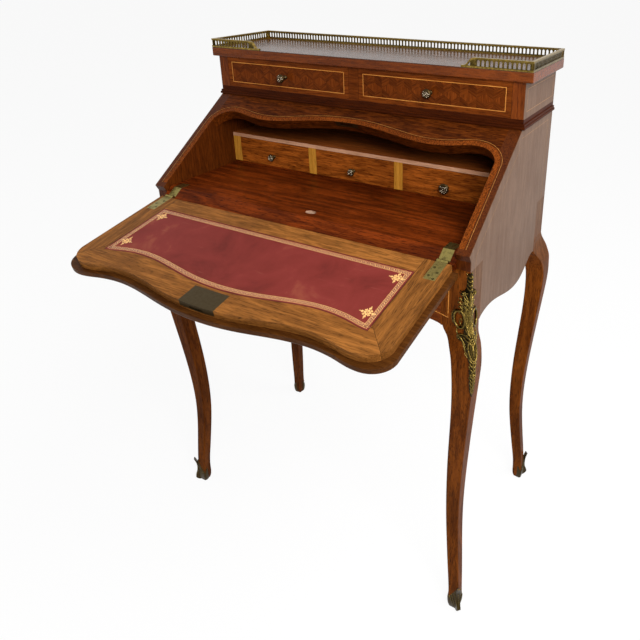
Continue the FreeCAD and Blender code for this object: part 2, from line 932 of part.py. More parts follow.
def gallery_front(length):
    """Front return along +X from the corner, dying down in a swept scroll."""
    top = gallery_height
    low = gallery_rail_height
    start = length - gallery_scroll
    sweep = [
        Vector(start, 0, top),
        Vector(start + gallery_scroll * 0.38, 0, top - (top - low) * 0.22),
        Vector(start + gallery_scroll * 0.62, 0, top - (top - low) * 0.78),
        Vector(length, 0, low),
    ]
    level = Vector(1, 0, 0)
    curve = spline(sweep, level, level)
    outline = [
        Part.makeLine(sweep[-1], Vector(length, 0, 0)),
        Part.makeLine(Vector(length, 0, 0), Vector(0, 0, 0)),
        Part.makeLine(Vector(0, 0, 0), Vector(0, 0, top)),
        Part.makeLine(Vector(0, 0, top), sweep[0]),
    ]
    whole = Part.Face(Part.Wire([curve] + outline)).extrude(Vector(0, gallery_rail_width, 0))
    drop = Vector(0, -gallery_rail_width, -gallery_rail_height)
    under = Part.Face(Part.Wire([curve] + outline)).extrude(Vector(0, gallery_rail_width * 3, 0))
    under.translate(drop)
    rails = whole.cut(under)
    base = box(0, length, 0, gallery_rail_width, 0, low)
    y = (gallery_rail_width - gallery_band) / 2
    ends = gallery_rail_width
    band = box(0, start + gallery_scroll * 0.4, y, y + gallery_band, 0, top).common(whole)
    band = band.cut(band_windows(ends, start, 0, low, top - low))
    return rails.fuse([base, band]).removeSplitter()


def gallery():
    """Back run and the left and right runs with their front returns."""
    x = half_width + top_overhang_side - gallery_inset
    y0 = slant_run - top_overhang_front + frieze_setback + gallery_inset
    y1 = case_depth + top_overhang_back - gallery_inset
    back = gallery_straight(x * 2)
    back.rotate(Vector(0, 0, 0), Vector(0, 0, 1), 180)
    back.translate(Vector(x, y1, top_z))
    side = gallery_straight(y1 - gallery_rail_width - y0)
    side.rotate(Vector(0, 0, 0), Vector(0, 0, 1), 90)
    side.translate(Vector(x, y0, top_z))
    front = gallery_front(gallery_return)
    front = mirror_x(front)
    front.translate(Vector(x, y0, top_z))
    right = side.fuse(front).removeSplitter()
    return back, mirror_x(right), right


def knuckle(x0, x1):
    bore = cylinder_x(x0, x1, 0, 0, hinge_pin_radius + pin_clearance)
    return cylinder_x(x0, x1, 0, 0, knuckle_radius).cut(bore)


def hinge_leaves_right():
    """Case leaf, fall leaf and pin of the right stop hinge."""
    x0 = hinge_x
    x1 = hinge_x + hinge_length
    third = hinge_length / 3
    side = knuckle_gap / 2
    reach = knuckle_radius + knuckle_gap
    at_axis = Vector(0, hinge_y, hinge_z)

    case_leaf = profile_x(case_leaf_profile(), x0, x1)
    bed = [(x0, x0 + third - side), (x1 - third + side, x1)]
    gap = (x0 + third - side, x1 - third + side)
    case_leaf = case_leaf.cut(cylinder_x(gap[0], gap[1], hinge_y, hinge_z, reach))
    for a, b in bed:
        barrel = cylinder_x(a, b, hinge_y, hinge_z, knuckle_radius)
        case_leaf = case_leaf.fuse(barrel)
    bore = cylinder_x(x0, x1, hinge_y, hinge_z, hinge_pin_radius)
    case_leaf = case_leaf.cut(bore).removeSplitter()

    face = hinge_below_face
    fall_leaf = box(x0, x1, -hinge_leaf_length, 0, face - hinge_leaf_thickness, face)
    for a, b in ((x0, x0 + third + side), (x1 - third - side, x1)):
        fall_leaf = fall_leaf.cut(cylinder_x(a, b, 0, 0, reach))
    middle = (x0 + third + side, x1 - third - side)
    fall_leaf = fall_leaf.fuse(cylinder_x(middle[0], middle[1], 0, 0, knuckle_radius))
    hole = cylinder_x(x0, x1, 0, 0, hinge_pin_radius + pin_clearance)
    fall_leaf = on_fall(fall_leaf.cut(hole).removeSplitter())

    pin = cylinder_x(x0, x1, hinge_y, hinge_z, hinge_pin_radius)
    return case_leaf, fall_leaf, pin


def lock_box(grow_side, z0, z1):
    """Block at the middle of the fall's front edge, from the lock's back line outward."""
    x = lock_half_width + grow_side
    return box(-x, x, -lip_crest_v, -crest_v + lock_depth + grow_side, z0, z1)


def key_hole(z0, z1, y):
    round_part = cylinder_z(0, y, z0, z1, key_radius)
    slot = box(-key_slot_width / 2, key_slot_width / 2, y, y + key_slot_length, z0, z1)
    return round_part.fuse(slot)


def bolt_channel(grow, length):
    x = bolt_half_width + grow
    middle = hinge_below_face - lock_plate - bolt_drop
    half = bolt_thickness / 2 + grow
    return box(-x, x, -crest_v - lip_overlap, -crest_v + length, middle - half, middle + half)


def fall_pieces():
    """Board, lip, leather, lock case and bolt of the open fall, in the fall's flat frame."""
    face = hinge_below_face
    under = board_underface
    low = under - lip_thickness
    blank = mirror_y(serpentine_face(board_half, crest_v, hinge_margin), 0)
    blank.translate(Vector(0, 0, under))
    blank = blank.extrude(Vector(0, 0, board_thickness))
    contour = mirror_y(serpentine_face(board_half, crest_v - leather_margin, 0), 0)
    contour.translate(Vector(0, 0, face - leather_thickness))
    window = box(
        -leather_half_width, leather_half_width, -crest_v, -leather_back, face - leather_thickness, face
    )
    leather = contour.extrude(Vector(0, 0, leather_thickness)).common(window)
    pocket = lock_box(0, face - lock_height, face)
    lock = blank.common(pocket)
    board = blank.cut([leather, lock])
    for side in (-1, 1):
        x0, x1 = sorted((side * hinge_x, side * (hinge_x + hinge_length)))
        board = board.cut(box(x0, x1, -hinge_leaf_length, 0, face - hinge_leaf_thickness, face))
    lip = mirror_y(serpentine_face(lip_half, lip_crest_v, hinge_margin), 0)
    lip.translate(Vector(0, 0, low))
    lip = lip.extrude(Vector(0, 0, lip_thickness))
    outer = [
        e
        for e in lip.Edges
        if e.BoundBox.ZMax < low + running_gap and e.BoundBox.YMin < -hinge_margin - running_gap
    ]
    lip = lip.makeFillet(lip_edge_radius, outer)
    key_y = -crest_v + key_setback
    board = board.cut(key_hole(under, face, key_y))
    lip = lip.cut(key_hole(low, under, key_y))
    lock = lock.cut(bolt_channel(bolt_gap, bolt_length + bolt_gap * 2))
    bolt = blank.common(bolt_channel(0, bolt_length))
    bolt = bolt.cut(box(-case_width, case_width, -crest_v, -crest_v + bolt_inset, under, face))
    return {
        "fall_board": board,
        "fall_lip": lip,
        "fall_leather": leather,
        "lock_case": lock,
        "lock_bolt": bolt,
    }


def all_pieces():
    pieces = {}
    leg = leg_stock(0)
    for name, shape in four_corners(leg).items():
        pieces["leg_" + name] = shape
    for name, shape in four_corners(shoe(leg)).items():
        pieces["shoe_" + name] = shape
    mount = at_front_right(knee_mount(leg))
    pieces["knee_mount_left"] = mirror_x(mount)
    pieces["knee_mount_right"] = mount

    pieces["side_panel_right"] = side_panel()
    pieces["side_panel_left"] = mirror_x(pieces["side_panel_right"])
    pieces["front_rail"] = front_rail()
    pieces["back_panel"] = back_panel()
    pieces["well_bottom"] = well_bottom()
    pieces["floor_ledge"] = floor_ledge()
    pieces["floor_strip_right"] = floor_strip()
    pieces["floor_strip_left"] = mirror_x(pieces["floor_strip_right"])
    pieces["well_lid"] = well_lid()
    pieces["slant_rail"] = slant_rail()
    pieces["lock_strike"] = lock_strike()

    shelf_z = writing_height + nest_height - nest_shelf_thickness
    inner_bay = small_bay_half + nest_divider
    outer_bay = inner_half - nest_stile
    pieces["nest_bottom"] = nest_board(writing_height, nest_bottom_thickness)
    pieces["nest_shelf"] = nest_board(shelf_z, nest_shelf_thickness)
    pieces["nest_stile_right"] = nest_upright(outer_bay, inner_half)
    pieces["nest_stile_left"] = mirror_x(pieces["nest_stile_right"])
    pieces["nest_divider_right"] = nest_upright(small_bay_half, inner_bay)
    pieces["nest_divider_left"] = mirror_x(pieces["nest_divider_right"])
    bays = (
        ("left", -outer_bay, -inner_bay),
        ("centre", -small_bay_half, small_bay_half),
        ("right", inner_bay, outer_bay),
    )
    for (name, x0, x1), diameter in zip(bays, small_knob_diameters):
        front, tray, handle = small_drawer(x0, x1, diameter)
        pieces["inner_drawer_front_" + name] = front
        pieces["inner_drawer_box_" + name] = tray
        pieces["inner_drawer_knob_" + name] = handle

    pieces["waist_board"] = waist_board()
    pieces["upper_side_right"] = upper_side_board()
    pieces["upper_side_left"] = mirror_x(pieces["upper_side_right"])
    side_x = half_width - upper_side
    back_y = case_depth - upper_back
    pieces["upper_back"] = box(-side_x, side_x, back_y, case_depth, frieze_z, top_under_z)
    half_post = upper_divider / 2
    pieces["upper_divider"] = box(-half_post, half_post, frieze_y, back_y, frieze_z, top_under_z)
    front, tray, handle = frieze_drawer()
    for name, shape in (("front", front), ("box", tray), ("knob", handle)):
        pieces["frieze_drawer_" + name + "_right"] = shape
        pieces["frieze_drawer_" + name + "_left"] = mirror_x(shape)
    pieces["top_board"] = top_board()
    back, left, right = gallery()
    pieces["gallery_back"] = back
    pieces["gallery_left"] = left
    pieces["gallery_right"] = right

    case_leaf, fall_leaf, pin = hinge_leaves_right()
    pieces["hinge_case_leaves"] = Part.makeCompound([mirror_x(case_leaf), case_leaf])
    pieces["hinge_fall_leaves"] = Part.makeCompound([mirror_x(fall_leaf), fall_leaf])
    pieces["hinge_pins"] = Part.makeCompound([mirror_x(pin), pin])
    for name, shape in fall_pieces().items():
        pieces[name] = on_fall(shape)
    return pieces


def main():
    os.makedirs("parts", exist_ok=True)
    pieces = all_pieces()
    bounds = Part.makeCompound(list(pieces.values())).optimalBoundingBox()
    shift = Vector(0, -(bounds.YMin + bounds.YMax) / 2, 0)
    for name, shape in pieces.items():
        placed = shape.copy()
        placed.translate(shift)
        placed.exportStep("parts/" + name + ".step")
    print("moved along Y by", shift.y)
    print("hinge axis", hinge_y + shift.y, hinge_z)


main()
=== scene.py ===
import json
import math
from functools import partial

import bmesh
import bpy
from bpy.props import FloatProperty, FloatVectorProperty, IntProperty, PointerProperty
from mathutils import Matrix, Vector
from mathutils.bvhtree import BVHTree


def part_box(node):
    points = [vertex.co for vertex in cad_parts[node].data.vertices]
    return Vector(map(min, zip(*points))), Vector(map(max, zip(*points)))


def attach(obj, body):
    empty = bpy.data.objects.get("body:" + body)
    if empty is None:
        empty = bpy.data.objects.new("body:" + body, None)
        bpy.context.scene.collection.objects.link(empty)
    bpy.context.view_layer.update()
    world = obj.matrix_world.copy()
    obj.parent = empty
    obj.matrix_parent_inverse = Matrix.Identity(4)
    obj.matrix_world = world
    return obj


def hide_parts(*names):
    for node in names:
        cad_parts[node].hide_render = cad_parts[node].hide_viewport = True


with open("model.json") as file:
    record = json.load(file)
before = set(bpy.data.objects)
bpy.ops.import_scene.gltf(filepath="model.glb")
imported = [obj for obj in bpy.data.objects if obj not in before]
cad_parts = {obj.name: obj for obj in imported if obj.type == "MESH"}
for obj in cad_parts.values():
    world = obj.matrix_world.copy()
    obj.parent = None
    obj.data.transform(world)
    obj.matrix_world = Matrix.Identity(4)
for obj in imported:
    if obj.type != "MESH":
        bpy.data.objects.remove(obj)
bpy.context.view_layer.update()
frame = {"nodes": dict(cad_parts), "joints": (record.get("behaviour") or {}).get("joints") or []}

bl_info = {"name": "Slant-front writing desk", "version": (1, 0, 0), "blender": (4, 5, 0),
    "location": "3D View > Sidebar > Desk",
    "description": "Dresses the frame of a slant-front writing desk: veneers, leather, inlay and bronzes",
    "category": "Object"}

MM = 0.001
NODES = frame["nodes"]
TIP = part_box("side_panel_right")[0].y
HALF_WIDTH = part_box("side_panel_right")[1].x
TIP_Z = 0.710
SLANT_ANGLE = math.atan2(0.135, 0.195)
HINGE = Vector([j for j in frame["joints"] if j["name"] == "fall_hinge"][0]["pos_m"])
FALL_SAG = math.radians(11.0)
ON_FALL = Matrix.Translation(HINGE) @ Matrix.Rotation(FALL_SAG, 4, "X")
UNDER_FALL = ON_FALL @ Matrix.Rotation(math.pi, 4, "X")
FALL_UNDERSIDE = min((ON_FALL.inverted() @ v.co).z for v in NODES["fall_lip"].data.vertices)
ON_SLANT = Matrix.Translation(Vector((0, TIP, TIP_Z))) @ Matrix.Rotation(SLANT_ANGLE, 4, "X")
SIDES = ((-1, "left"), (1, "right"))
LEGS = ("front_left", "front_right", "back_left", "back_right")
KNOBS = ("frieze_drawer_knob_left", "frieze_drawer_knob_right", "inner_drawer_knob_left",
    "inner_drawer_knob_centre", "inner_drawer_knob_right")


def linear(code):
    """Linear colour of an sRGB hex value."""
    parts = [int(code[i:i + 2], 16) / 255 for i in (1, 3, 5)]
    return tuple(c / 12.92 if c <= 0.04045 else ((c + 0.055) / 1.055) ** 2.4 for c in parts)


def colour_prop(name, text, code):
    return FloatVectorProperty(name=name, description=text, subtype="COLOR", size=3, min=0, max=1,
        default=linear(code))


def length_prop(name, text, value):
    return FloatProperty(name=name, description=text, unit="LENGTH", min=0, default=value)


class DeskTimberSettings(bpy.types.PropertyGroup):
    """Colours of the woods."""

    # The side veneer's pale grey tone is a painted sheen over walnut.
    side_veneer: colour_prop("Side veneer", "Faded walnut veneer of the sides", "#6a503e")
    leg_wood: colour_prop("Leg wood", "Stained solid wood of the legs", "#63320b")
    drawer_veneer: colour_prop("Drawer veneer", "Walnut veneer of drawer fronts and slant", "#642e0a")
    floor_veneer: colour_prop("Floor veneer", "Red-brown veneer of the writing floor", "#602607")
    fall_wood: colour_prop("Fall wood", "Straight-grained wood of the open fall", "#865424")
    nest_wood: colour_prop("Nest wood", "Orange-brown wood of the small drawers", "#8f4a16")
    satinwood: colour_prop("Satinwood", "Light wood of uprights and string lines", "#c08530")
    hidden_wood: colour_prop("Hidden wood", "Plain wood of boxes and backs", "#8b6a42")
    top_veneer: colour_prop("Top veneer", "Purple-brown veneer of the top", "#4a2d1c")


class DeskLiningSettings(bpy.types.PropertyGroup):
    """Colours and sizes of the leather lining."""

    leather: colour_prop("Leather", "Worn crimson leather", "#722a24")
    gilding: colour_prop("Gilding", "Gold leaf of the tooled border", "#f0bc74")
    edge_margin: length_prop("Edge margin", "Leather between its edge and the outer line", 0.0034)
    line_width: length_prop("Line width", "Width of a tooled line", 0.0005)
    line_gap: length_prop("Line gap", "Leather between line and border", 0.0008)
    border_width: length_prop("Border width", "Width of the tooled border", 0.0046)
    ornament_size: length_prop("Ornament size", "Length of a corner ornament", 0.0240)


class DeskInlaySettings(bpy.types.PropertyGroup):
    """Sizes of string lines and cross banding."""

    string_width: length_prop("String width", "Width of a string line", 0.0012)
    band_width: length_prop("Band width", "Width of the cross banding round the opening", 0.0090)
    proud: length_prop("Proud", "How far an inlaid line stands above the veneer", 0.00012)
    frame_margin: length_prop("Frame margin", "From a drawer front's edge to its string line", 0.0095)


class DeskBronzeSettings(bpy.types.PropertyGroup):
    """Colours of the metals."""

    gilt_bronze: colour_prop("Gilt bronze", "Worn gilding of mounts and gallery", "#7d6a34")
    dark_bronze: colour_prop("Dark bronze", "Dark patina of knobs and shoes", "#382c19")
    hinge_brass: colour_prop("Hinge brass", "Old brass of the hinges", "#625830")
    lock_metal: colour_prop("Lock metal", "Dull brass-faced lock plate", "#3e3320")
    petals: IntProperty(name="Petals", description="Petals of a mount's flower", default=6, min=4, max=9)


class DeskStageSettings(bpy.types.PropertyGroup):
    """Floor, light and camera."""

    floor: colour_prop("Floor", "Pale studio floor", "#fbfbfb")
    camera_place: FloatVectorProperty(name="Camera place", description="Where the camera stands",
        subtype="XYZ", unit="LENGTH", default=(0.595783, TIP - 0.716810, 1.089677))
    camera_turn: FloatProperty(name="Camera turn", description="Turn round the desk", subtype="ANGLE",
        default=math.radians(29.1406))
    camera_rise: FloatProperty(name="Camera rise", description="Angle above level", subtype="ANGLE",
        default=math.radians(22.5679))
    camera_roll: FloatProperty(name="Camera roll", description="Tilt of the frame", subtype="ANGLE",
        default=math.radians(-0.2215))
    lens: FloatProperty(name="Lens", description="Focal length in mm", default=34.636, min=5)
    light: FloatProperty(name="Light", description="Level of the soft boxes", default=1.0, min=0)


# Material tools

# Turns of the grain
ALONG_X = (0, 0, 0)
ALONG_Y = (0, 0, math.radians(90))
ALONG_Z = (0, math.radians(90), 0)
# Grains: width and length of a fibre, width of the figure, contrast
# Grain of the pale side veneer, whose paleness is a painted sheen
SIDE_VENEER_GRAIN = (0.0016, 0.07, 0.030, 0.32)
OAK_GRAIN = (0.0018, 0.14, 0.045, 0.26)
FLOOR_GRAIN = (0.003, 0.10, 0.034, 0.95)
# How deep a veneer's skin reaches below its face, so that the edges show the other wood
SKIN = 0.0009


def add_node(tree, kind, inputs=(), operation=None, stops=None, **settings):
    """Adds a node with its values and links, by name or in the order of the sockets in use."""
    made = tree.nodes.new("ShaderNode" + kind)
    if operation:
        made.operation = operation
    for key, value in settings.items():
        setattr(made, key, value)
    if isinstance(inputs, dict):
        given = [(made.inputs[key], value) for key, value in inputs.items()]
    else:
        given = zip([socket for socket in made.inputs if socket.enabled], inputs)
    for socket, value in given:
        if isinstance(value, bpy.types.Node):
            value = next(output for output in value.outputs if output.enabled)
        if isinstance(value, bpy.types.NodeSocket):
            tree.links.new(value, socket)
        else:
            socket.default_value = value
    if stops:
        ramp = made.color_ramp
        while len(ramp.elements) < len(stops):
            ramp.elements.new(0.5)
        for element, (place, colour) in zip(ramp.elements, stops):
            element.position = place
            element.color = (*colour, 1)
    return made


def shade(colour, factor, warm=0.0):
    """A darker or lighter tone of a colour; warm shifts it to red."""
    r, g, b = colour
    return (min(1, r * factor * (1 + warm)), min(1, g * factor), min(1, b * factor * (1 - warm)))


def new_material(name):
    """A material and the function that adds nodes to it."""
    material = bpy.data.materials.new(name)
    material.use_nodes = True
    material.node_tree.nodes.clear()
    return material, partial(add_node, material.node_tree)


def finish_material(node, shader_inputs):
    node("OutputMaterial", [node("BsdfPrincipled", shader_inputs)])


def grain_pattern(node, place, colour, streak, run, figure, contrast, warm=0.12):
    """Wood grain along X: growth rings, fibres and open pores; gives its colour and its height."""
    wide = node("VectorMath", [place, (1 / (figure * 9), 1 / figure, 1 / figure)], "MULTIPLY")
    bend = node("TexNoise", {"Vector": wide, "Scale": 1.0, "Detail": 2.0})
    rings = node("Math", [node("Math", [bend, 11.0], "MULTIPLY"), 1.0], "PINGPONG")
    fine = node("VectorMath", [place, (1 / run, 1 / streak, 1 / streak)], "MULTIPLY")
    fibre = node("TexNoise", {"Vector": fine, "Scale": 1.0, "Detail": 5.0, "Roughness": 0.65})
    cloud = node("TexNoise", {"Vector": place, "Scale": 9.0, "Detail": 3.0, "Roughness": 0.55})
    tone = node("Math", [fibre, 0.75, node("Math", [rings, 0.30], "MULTIPLY")], "MULTIPLY_ADD")
    tone = node("Math", [cloud, 0.55, tone], "MULTIPLY_ADD")
    c = contrast
    ramp = node("ValToRGB", [tone], stops=[(0.48, shade(colour, 1 - 0.75 * c, warm)),
        (0.70, shade(colour, 1 - 0.30 * c, warm * 0.5)), (0.86, shade(colour, 1 + 0.15 * c)),
        (1.00, shade(colour, 1 + 0.65 * c))])
    # Open pores, drawn 1.3 mm wide and 14 mm long so that they show
    dash = node("VectorMath", [place, (70.0, 760.0, 760.0)], "MULTIPLY")
    pore = node("TexNoise", {"Vector": dash, "Scale": 1.0, "Detail": 2.0, "Roughness": 0.6})
    pore = node("MapRange", [pore, 0.52, 0.66, 1.0, max(0.25, 1 - 0.80 * c)])
    dark = node("Mix", [1.0, ramp, pore], data_type="RGBA", blend_type="MULTIPLY")
    return dark, fibre


def polished(node, colour, height, rough, coat, coat_rough, specular, bump):
    """French polish over wood: a soft gloss, broken slightly where the grain shows through."""
    gloss = node("MapRange", [height, 0.3, 0.7, rough + 0.08, rough - 0.05])
    relief = node("Bump", {"Strength": bump, "Distance": 0.0004, "Height": height})
    finish_material(node, {"Base Color": colour, "Roughness": gloss, "Normal": relief,
        "Specular IOR Level": specular, "Coat Weight": coat, "Coat Roughness": coat_rough,
        "Coat Normal": relief})


def timber(name, colour, turn=ALONG_X, streak=0.0022, run=0.075, figure=0.020, contrast=0.55,
           rough=0.42, coat=0.03, coat_rough=0.16, specular=0.03):
    """A wood with its grain along X, turned by angles to run as the piece was cut."""
    material, node = new_material(name)
    place = node("Mapping", {"Vector": node("TexCoord").outputs["Object"], "Rotation": turn})
    colour, height = grain_pattern(node, place, colour, streak, run, figure, contrast)
    polished(node, colour, height, rough, coat, coat_rough, specular, 0.14)
    return material


def two_woods(name, first, second, finish, share, turn=ALONG_X, offset=0.0):
    """One piece in two woods, each a colour and its grain; share gives the second's part by place and way."""
    material, node = new_material(name)
    here = node("TexCoord")
    place = node("Mapping", {"Vector": here.outputs["Object"], "Rotation": turn, "Location": (0, 0, offset)})
    colour, height = grain_pattern(node, place, *first)
    other = grain_pattern(node, place, *second)[0]
    part = share(node, *[node("SeparateXYZ", [here.outputs[k]]).outputs for k in ("Object", "Normal")])
    both = node("Mix", [part, colour, other], data_type="RGBA")
    polished(node, both, height, *finish)
    return material


def leg_material(name, wood, veneer, offset):
    """Stained solid leg; its outward side carries the pale side veneer down over the knee, as a painted
    sheen.
    """

    # Painted sheen: faces turned to either side take the pale side veneer, strongly above the knee and
    # faintly below
    def outward(node, place, way):
        sideways = node("MapRange", [node("Math", [way[0]], "ABSOLUTE"), 0.66, 0.74, 0.0, 1.0])
        high = node("MapRange", [place[2], 0.50, 0.67, 0.05, 0.9])
        outer = node("Math", [node("Math", [place[0]], "ABSOLUTE"), HALF_WIDTH - 0.015], "GREATER_THAN")
        return node("Math", [node("Math", [sideways, high], "MULTIPLY"), outer], "MULTIPLY")

    return two_woods(name, (wood, 0.0014, 0.022, 0.030, 0.75), (veneer, *SIDE_VENEER_GRAIN),
        (0.36, 0.02, 0.14, 0.015, 0.14), outward, ALONG_Z, offset)


def side_material(name, veneer, edge):
    """Walnut veneer on the outer skin of a side, pale grey as a painted sheen; its edges and inner face are
    dark polished wood.
    """

    def inner(node, place, way):
        return node("Math", [node("Math", [place[0]], "ABSOLUTE"), HALF_WIDTH - SKIN], "LESS_THAN")

    return two_woods(name, (veneer, *SIDE_VENEER_GRAIN), (edge, 0.0019, 0.03, 0.014, 0.60),
        (0.40, 0.04, 0.22, 0.08, 0.14), inner, ALONG_Z)


def shelf_material(name, facing, board):
    """A brown shelf with a pale pinkish facing glued to its front edge."""

    def level(node, place, way):
        return node("Math", [node("Math", [way[2]], "ABSOLUTE"), 0.5], "GREATER_THAN")

    return two_woods(name, (facing, 0.0014, 0.06, 0.015, 0.35), (board, 0.0018, 0.10, 0.020, 0.60),
        (0.45, 0.02, 0.2, 0.04, 0.12), level)


def back_material(name, oak, painted_shade):
    """Plain oak outside; the face towards the nest is painted nearly black as the shade inside the deep nest.
    """

    def inner(node, place, way):
        return node("Math", [place[1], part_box("back_panel")[0].y + 0.0006], "LESS_THAN")

    return two_woods(name, (oak, *OAK_GRAIN), (painted_shade, 0.0018, 0.10, 0.020, 0.60),
        (0.6, 0.0, 0.3, 0.1, 0.12), inner)


def lid_material(name, veneer, hollow_tone):
    """Veneer of the writing floor; inside the finger hollow the wood is paler."""

    def sunk(node, place, way):
        return node("Math", [place[2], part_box("well_lid")[1].z - 0.0004], "LESS_THAN")

    return two_woods(name, (veneer, *FLOOR_GRAIN), (hollow_tone, 0.002, 0.05, 0.020, 0.35),
        (0.40, 0.03, 0.16, 0.04, 0.14), sunk)


def parquetry(name, colour, tile, upright, window, rough=0.40, coat=0.03, coat_rough=0.12,
              specular=0.03, edge=None, band_tone=1.0):
    """Tumbling-block parquetry of rhombs in a window; outside it a cross band of the same wood."""
    material, node = new_material(name)
    here = node("TexCoord").outputs["Object"]
    flat = node("Mapping", {"Vector": here, "Rotation": (math.radians(-90 if upright else 0), 0, 0)})
    level = node("VectorMath", [flat, (1, 1, 0)], "MULTIPLY")
    cell = (tile, tile * math.sqrt(3), 1)
    grids = []
    for shift in (0, 0.5):
        grid = node("VectorMath", [level, cell], "DIVIDE")
        grid = node("VectorMath", [grid, (shift, shift, 0)], "SUBTRACT")
        grid = node("VectorMath", [node("VectorMath", [grid], "FRACTION"), (0.5, 0.5, 0)], "SUBTRACT")
        grid = node("VectorMath", [grid, cell], "MULTIPLY")
        grids.append((grid, node("VectorMath", [grid], "LENGTH")))
    nearer = node("Math", [grids[0][1], grids[1][1]], "LESS_THAN")
    local = node("Mix", [nearer, grids[1][0], grids[0][0]], data_type="VECTOR")
    x, y, _ = node("SeparateXYZ", [local]).outputs
    turns = node("Math", [node("Math", [y, x], "ARCTAN2"), math.radians(210)], "ADD")
    sector = node("Math", [node("Math", [turns, math.radians(120)], "DIVIDE")], "FLOOR")
    third = node("Math", [sector, 3.0], "MODULO")
    swing = node("Math", [node("Math", [third, math.radians(120)], "MULTIPLY"), math.radians(30)], "ADD")
    turned = node("VectorRotate", {"Vector": flat, "Angle": swing}, rotation_type="Z_AXIS")
    lozenge, height = grain_pattern(node, turned, colour, 0.0018, 0.03, 0.012, 0.55)
    tones = node("MapRange", [third, 0.0, 2.0, 0.84, 1.22])
    toned = node("Mix", [1.0, lozenge, tones], data_type="RGBA", blend_type="MULTIPLY")
    band = grain_pattern(node, here, shade(colour, band_tone, -0.04), 0.0022, 0.05, 0.018, 0.60)[0]
    x0, x1, y0, y1 = window
    away = node("VectorMath", [level, ((x0 + x1) / 2, (y0 + y1) / 2, 0)], "SUBTRACT")
    away = node("VectorMath", [away], "ABSOLUTE")
    away = node("VectorMath", [away, ((x1 - x0) / 2, (y1 - y0) / 2, 1)], "SUBTRACT")
    x, y, _ = node("SeparateXYZ", [away]).outputs
    outside = node("Math", [node("Math", [x, y], "MAXIMUM"), 0.0], "GREATER_THAN")
    shown = node("Mix", [outside, toned, band], data_type="RGBA")
    if edge:
        edge_wood = grain_pattern(node, here, edge, 0.0018, 0.08, 0.02, 0.55)[0]
        z = node("SeparateXYZ", [here]).outputs[2]
        above = node("Math", [z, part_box("top_board")[1].z - 0.0012], "GREATER_THAN")
        shown = node("Mix", [above, edge_wood, shown], data_type="RGBA")
    polished(node, shown, height, rough, coat, coat_rough, specular, 0.08)
    return material


def metal(name, colour, dark, rough, relief=0.0004, grit=0.0016, bright=1.3, highlight_and_wear=1.0):
    """Cast or rolled metal: a bright colour over a darker patina that stays in hollows and spots; the
    brightest tone, on raised points and spots, is partly rubbing and partly a painted highlight.
    """
    material, node = new_material(name)
    spots = node("TexNoise", {"Vector": node("TexCoord").outputs["Object"], "Scale": 0.35 / grit,
        "Detail": 4.0, "Roughness": 0.6})
    # Raised points are lightened, partly by rubbing and partly as a painted highlight
    lightened = node("MapRange", [node("NewGeometry").outputs["Pointiness"], 0.44, 0.56, 0.0, highlight_and_wear])
    mixed = node("Math", [spots, 0.9, lightened], "MULTIPLY_ADD")
    ramp = node("ValToRGB", [mixed], stops=[(0.30, dark), (0.80, colour), (1.0, shade(colour, bright))])
    gloss = node("MapRange", [spots, 0.3, 0.7, rough + 0.12, rough - 0.06])
    bump = node("Bump", {"Strength": 0.35, "Distance": relief, "Height": spots})
    finish_material(node, {"Base Color": ramp, "Metallic": 1.0, "Roughness": gloss, "Normal": bump})
    return material


def paint(material, *starts):
    """Gives a material to every node whose name starts so."""
    for name in NODES:
        if name.startswith(starts):
            data = NODES[name].data
            data.materials.clear()
            data.materials.append(material)


# Mesh tools


def new_object(name, bm, materials):
    """Makes an object from a bmesh and gives it its materials."""
    mesh = bpy.data.meshes.new(name)
    bm.to_mesh(mesh)
    bm.free()
    for material in materials:
        mesh.materials.append(material)
    made = bpy.data.objects.new(name, mesh)
    bpy.context.scene.collection.objects.link(made)
    return made


def new_piece(name, bm, materials, body):
    """A new object that rides on a body."""
    piece = new_object(name, bm, materials)
    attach(piece, body)
    return piece


def merged_copy(name):
    """Bmesh of a node's copy with its loose triangles merged."""
    bm = bmesh.new()
    bm.from_mesh(NODES[name].data)
    bmesh.ops.remove_doubles(bm, verts=bm.verts, dist=1e-6)
    return bm


def flat_face(bm, inverse, level):
    """Keeps and gives the face of a solid that lies flat at a level in a turned frame, as one outline."""
    bmesh.ops.transform(bm, matrix=inverse, verts=bm.verts)
    away = [f for f in bm.faces if f.normal.z < 0.9 or abs(f.calc_center_median().z - level) > 0.0003]
    bmesh.ops.delete(bm, geom=away, context="FACES")
    bmesh.ops.dissolve_limit(bm, angle_limit=0.02, verts=bm.verts, edges=bm.edges,
        use_dissolve_boundaries=False)
    return max(bm.faces, key=lambda f: f.calc_area())


def offset_path(path, distance):
    """A path in the XY plane moved to its left by a distance."""
    moved = []
    for i, here in enumerate(path):
        way = (path[min(len(path) - 1, i + 1)] - path[max(0, i - 1)]).normalized()
        moved.append(here + Vector((-way.y, way.x, 0)) * distance)
    return moved


def closed_outline(face):
    """A flat face's corners in order, anticlockwise, begun and ended halfway along its longest side."""
    corners = [Vector((v.co.x, v.co.y, 0)) for v in face.verts]
    area = sum(a.x * b.y - b.x * a.y for a, b in zip(corners, corners[1:] + corners[:1]))
    if area < 0:
        corners.reverse()
    count = len(corners)
    start = max(range(count), key=lambda i: (corners[(i + 1) % count] - corners[i]).length)
    middle = (corners[start] + corners[(start + 1) % count]) / 2
    return [middle] + [corners[(start + 1 + i) % count] for i in range(count)] + [middle.copy()]


def closed_offset(outline, distance):
    """A closed anticlockwise outline drawn in by a distance, with mitred corners."""
    drawn = []
    count = len(outline) - 1
    for i in range(count):
        here = outline[i]
        before = (here - outline[(i - 1) % count]).normalized()
        after = (outline[i + 1] - here).normalized()
        a = Vector((-before.y, before.x, 0))
        b = Vector((-after.y, after.x, 0))
        drawn.append(here + (a + b) * distance / (1 + a.dot(b)))
    return drawn + [drawn[0].copy()]


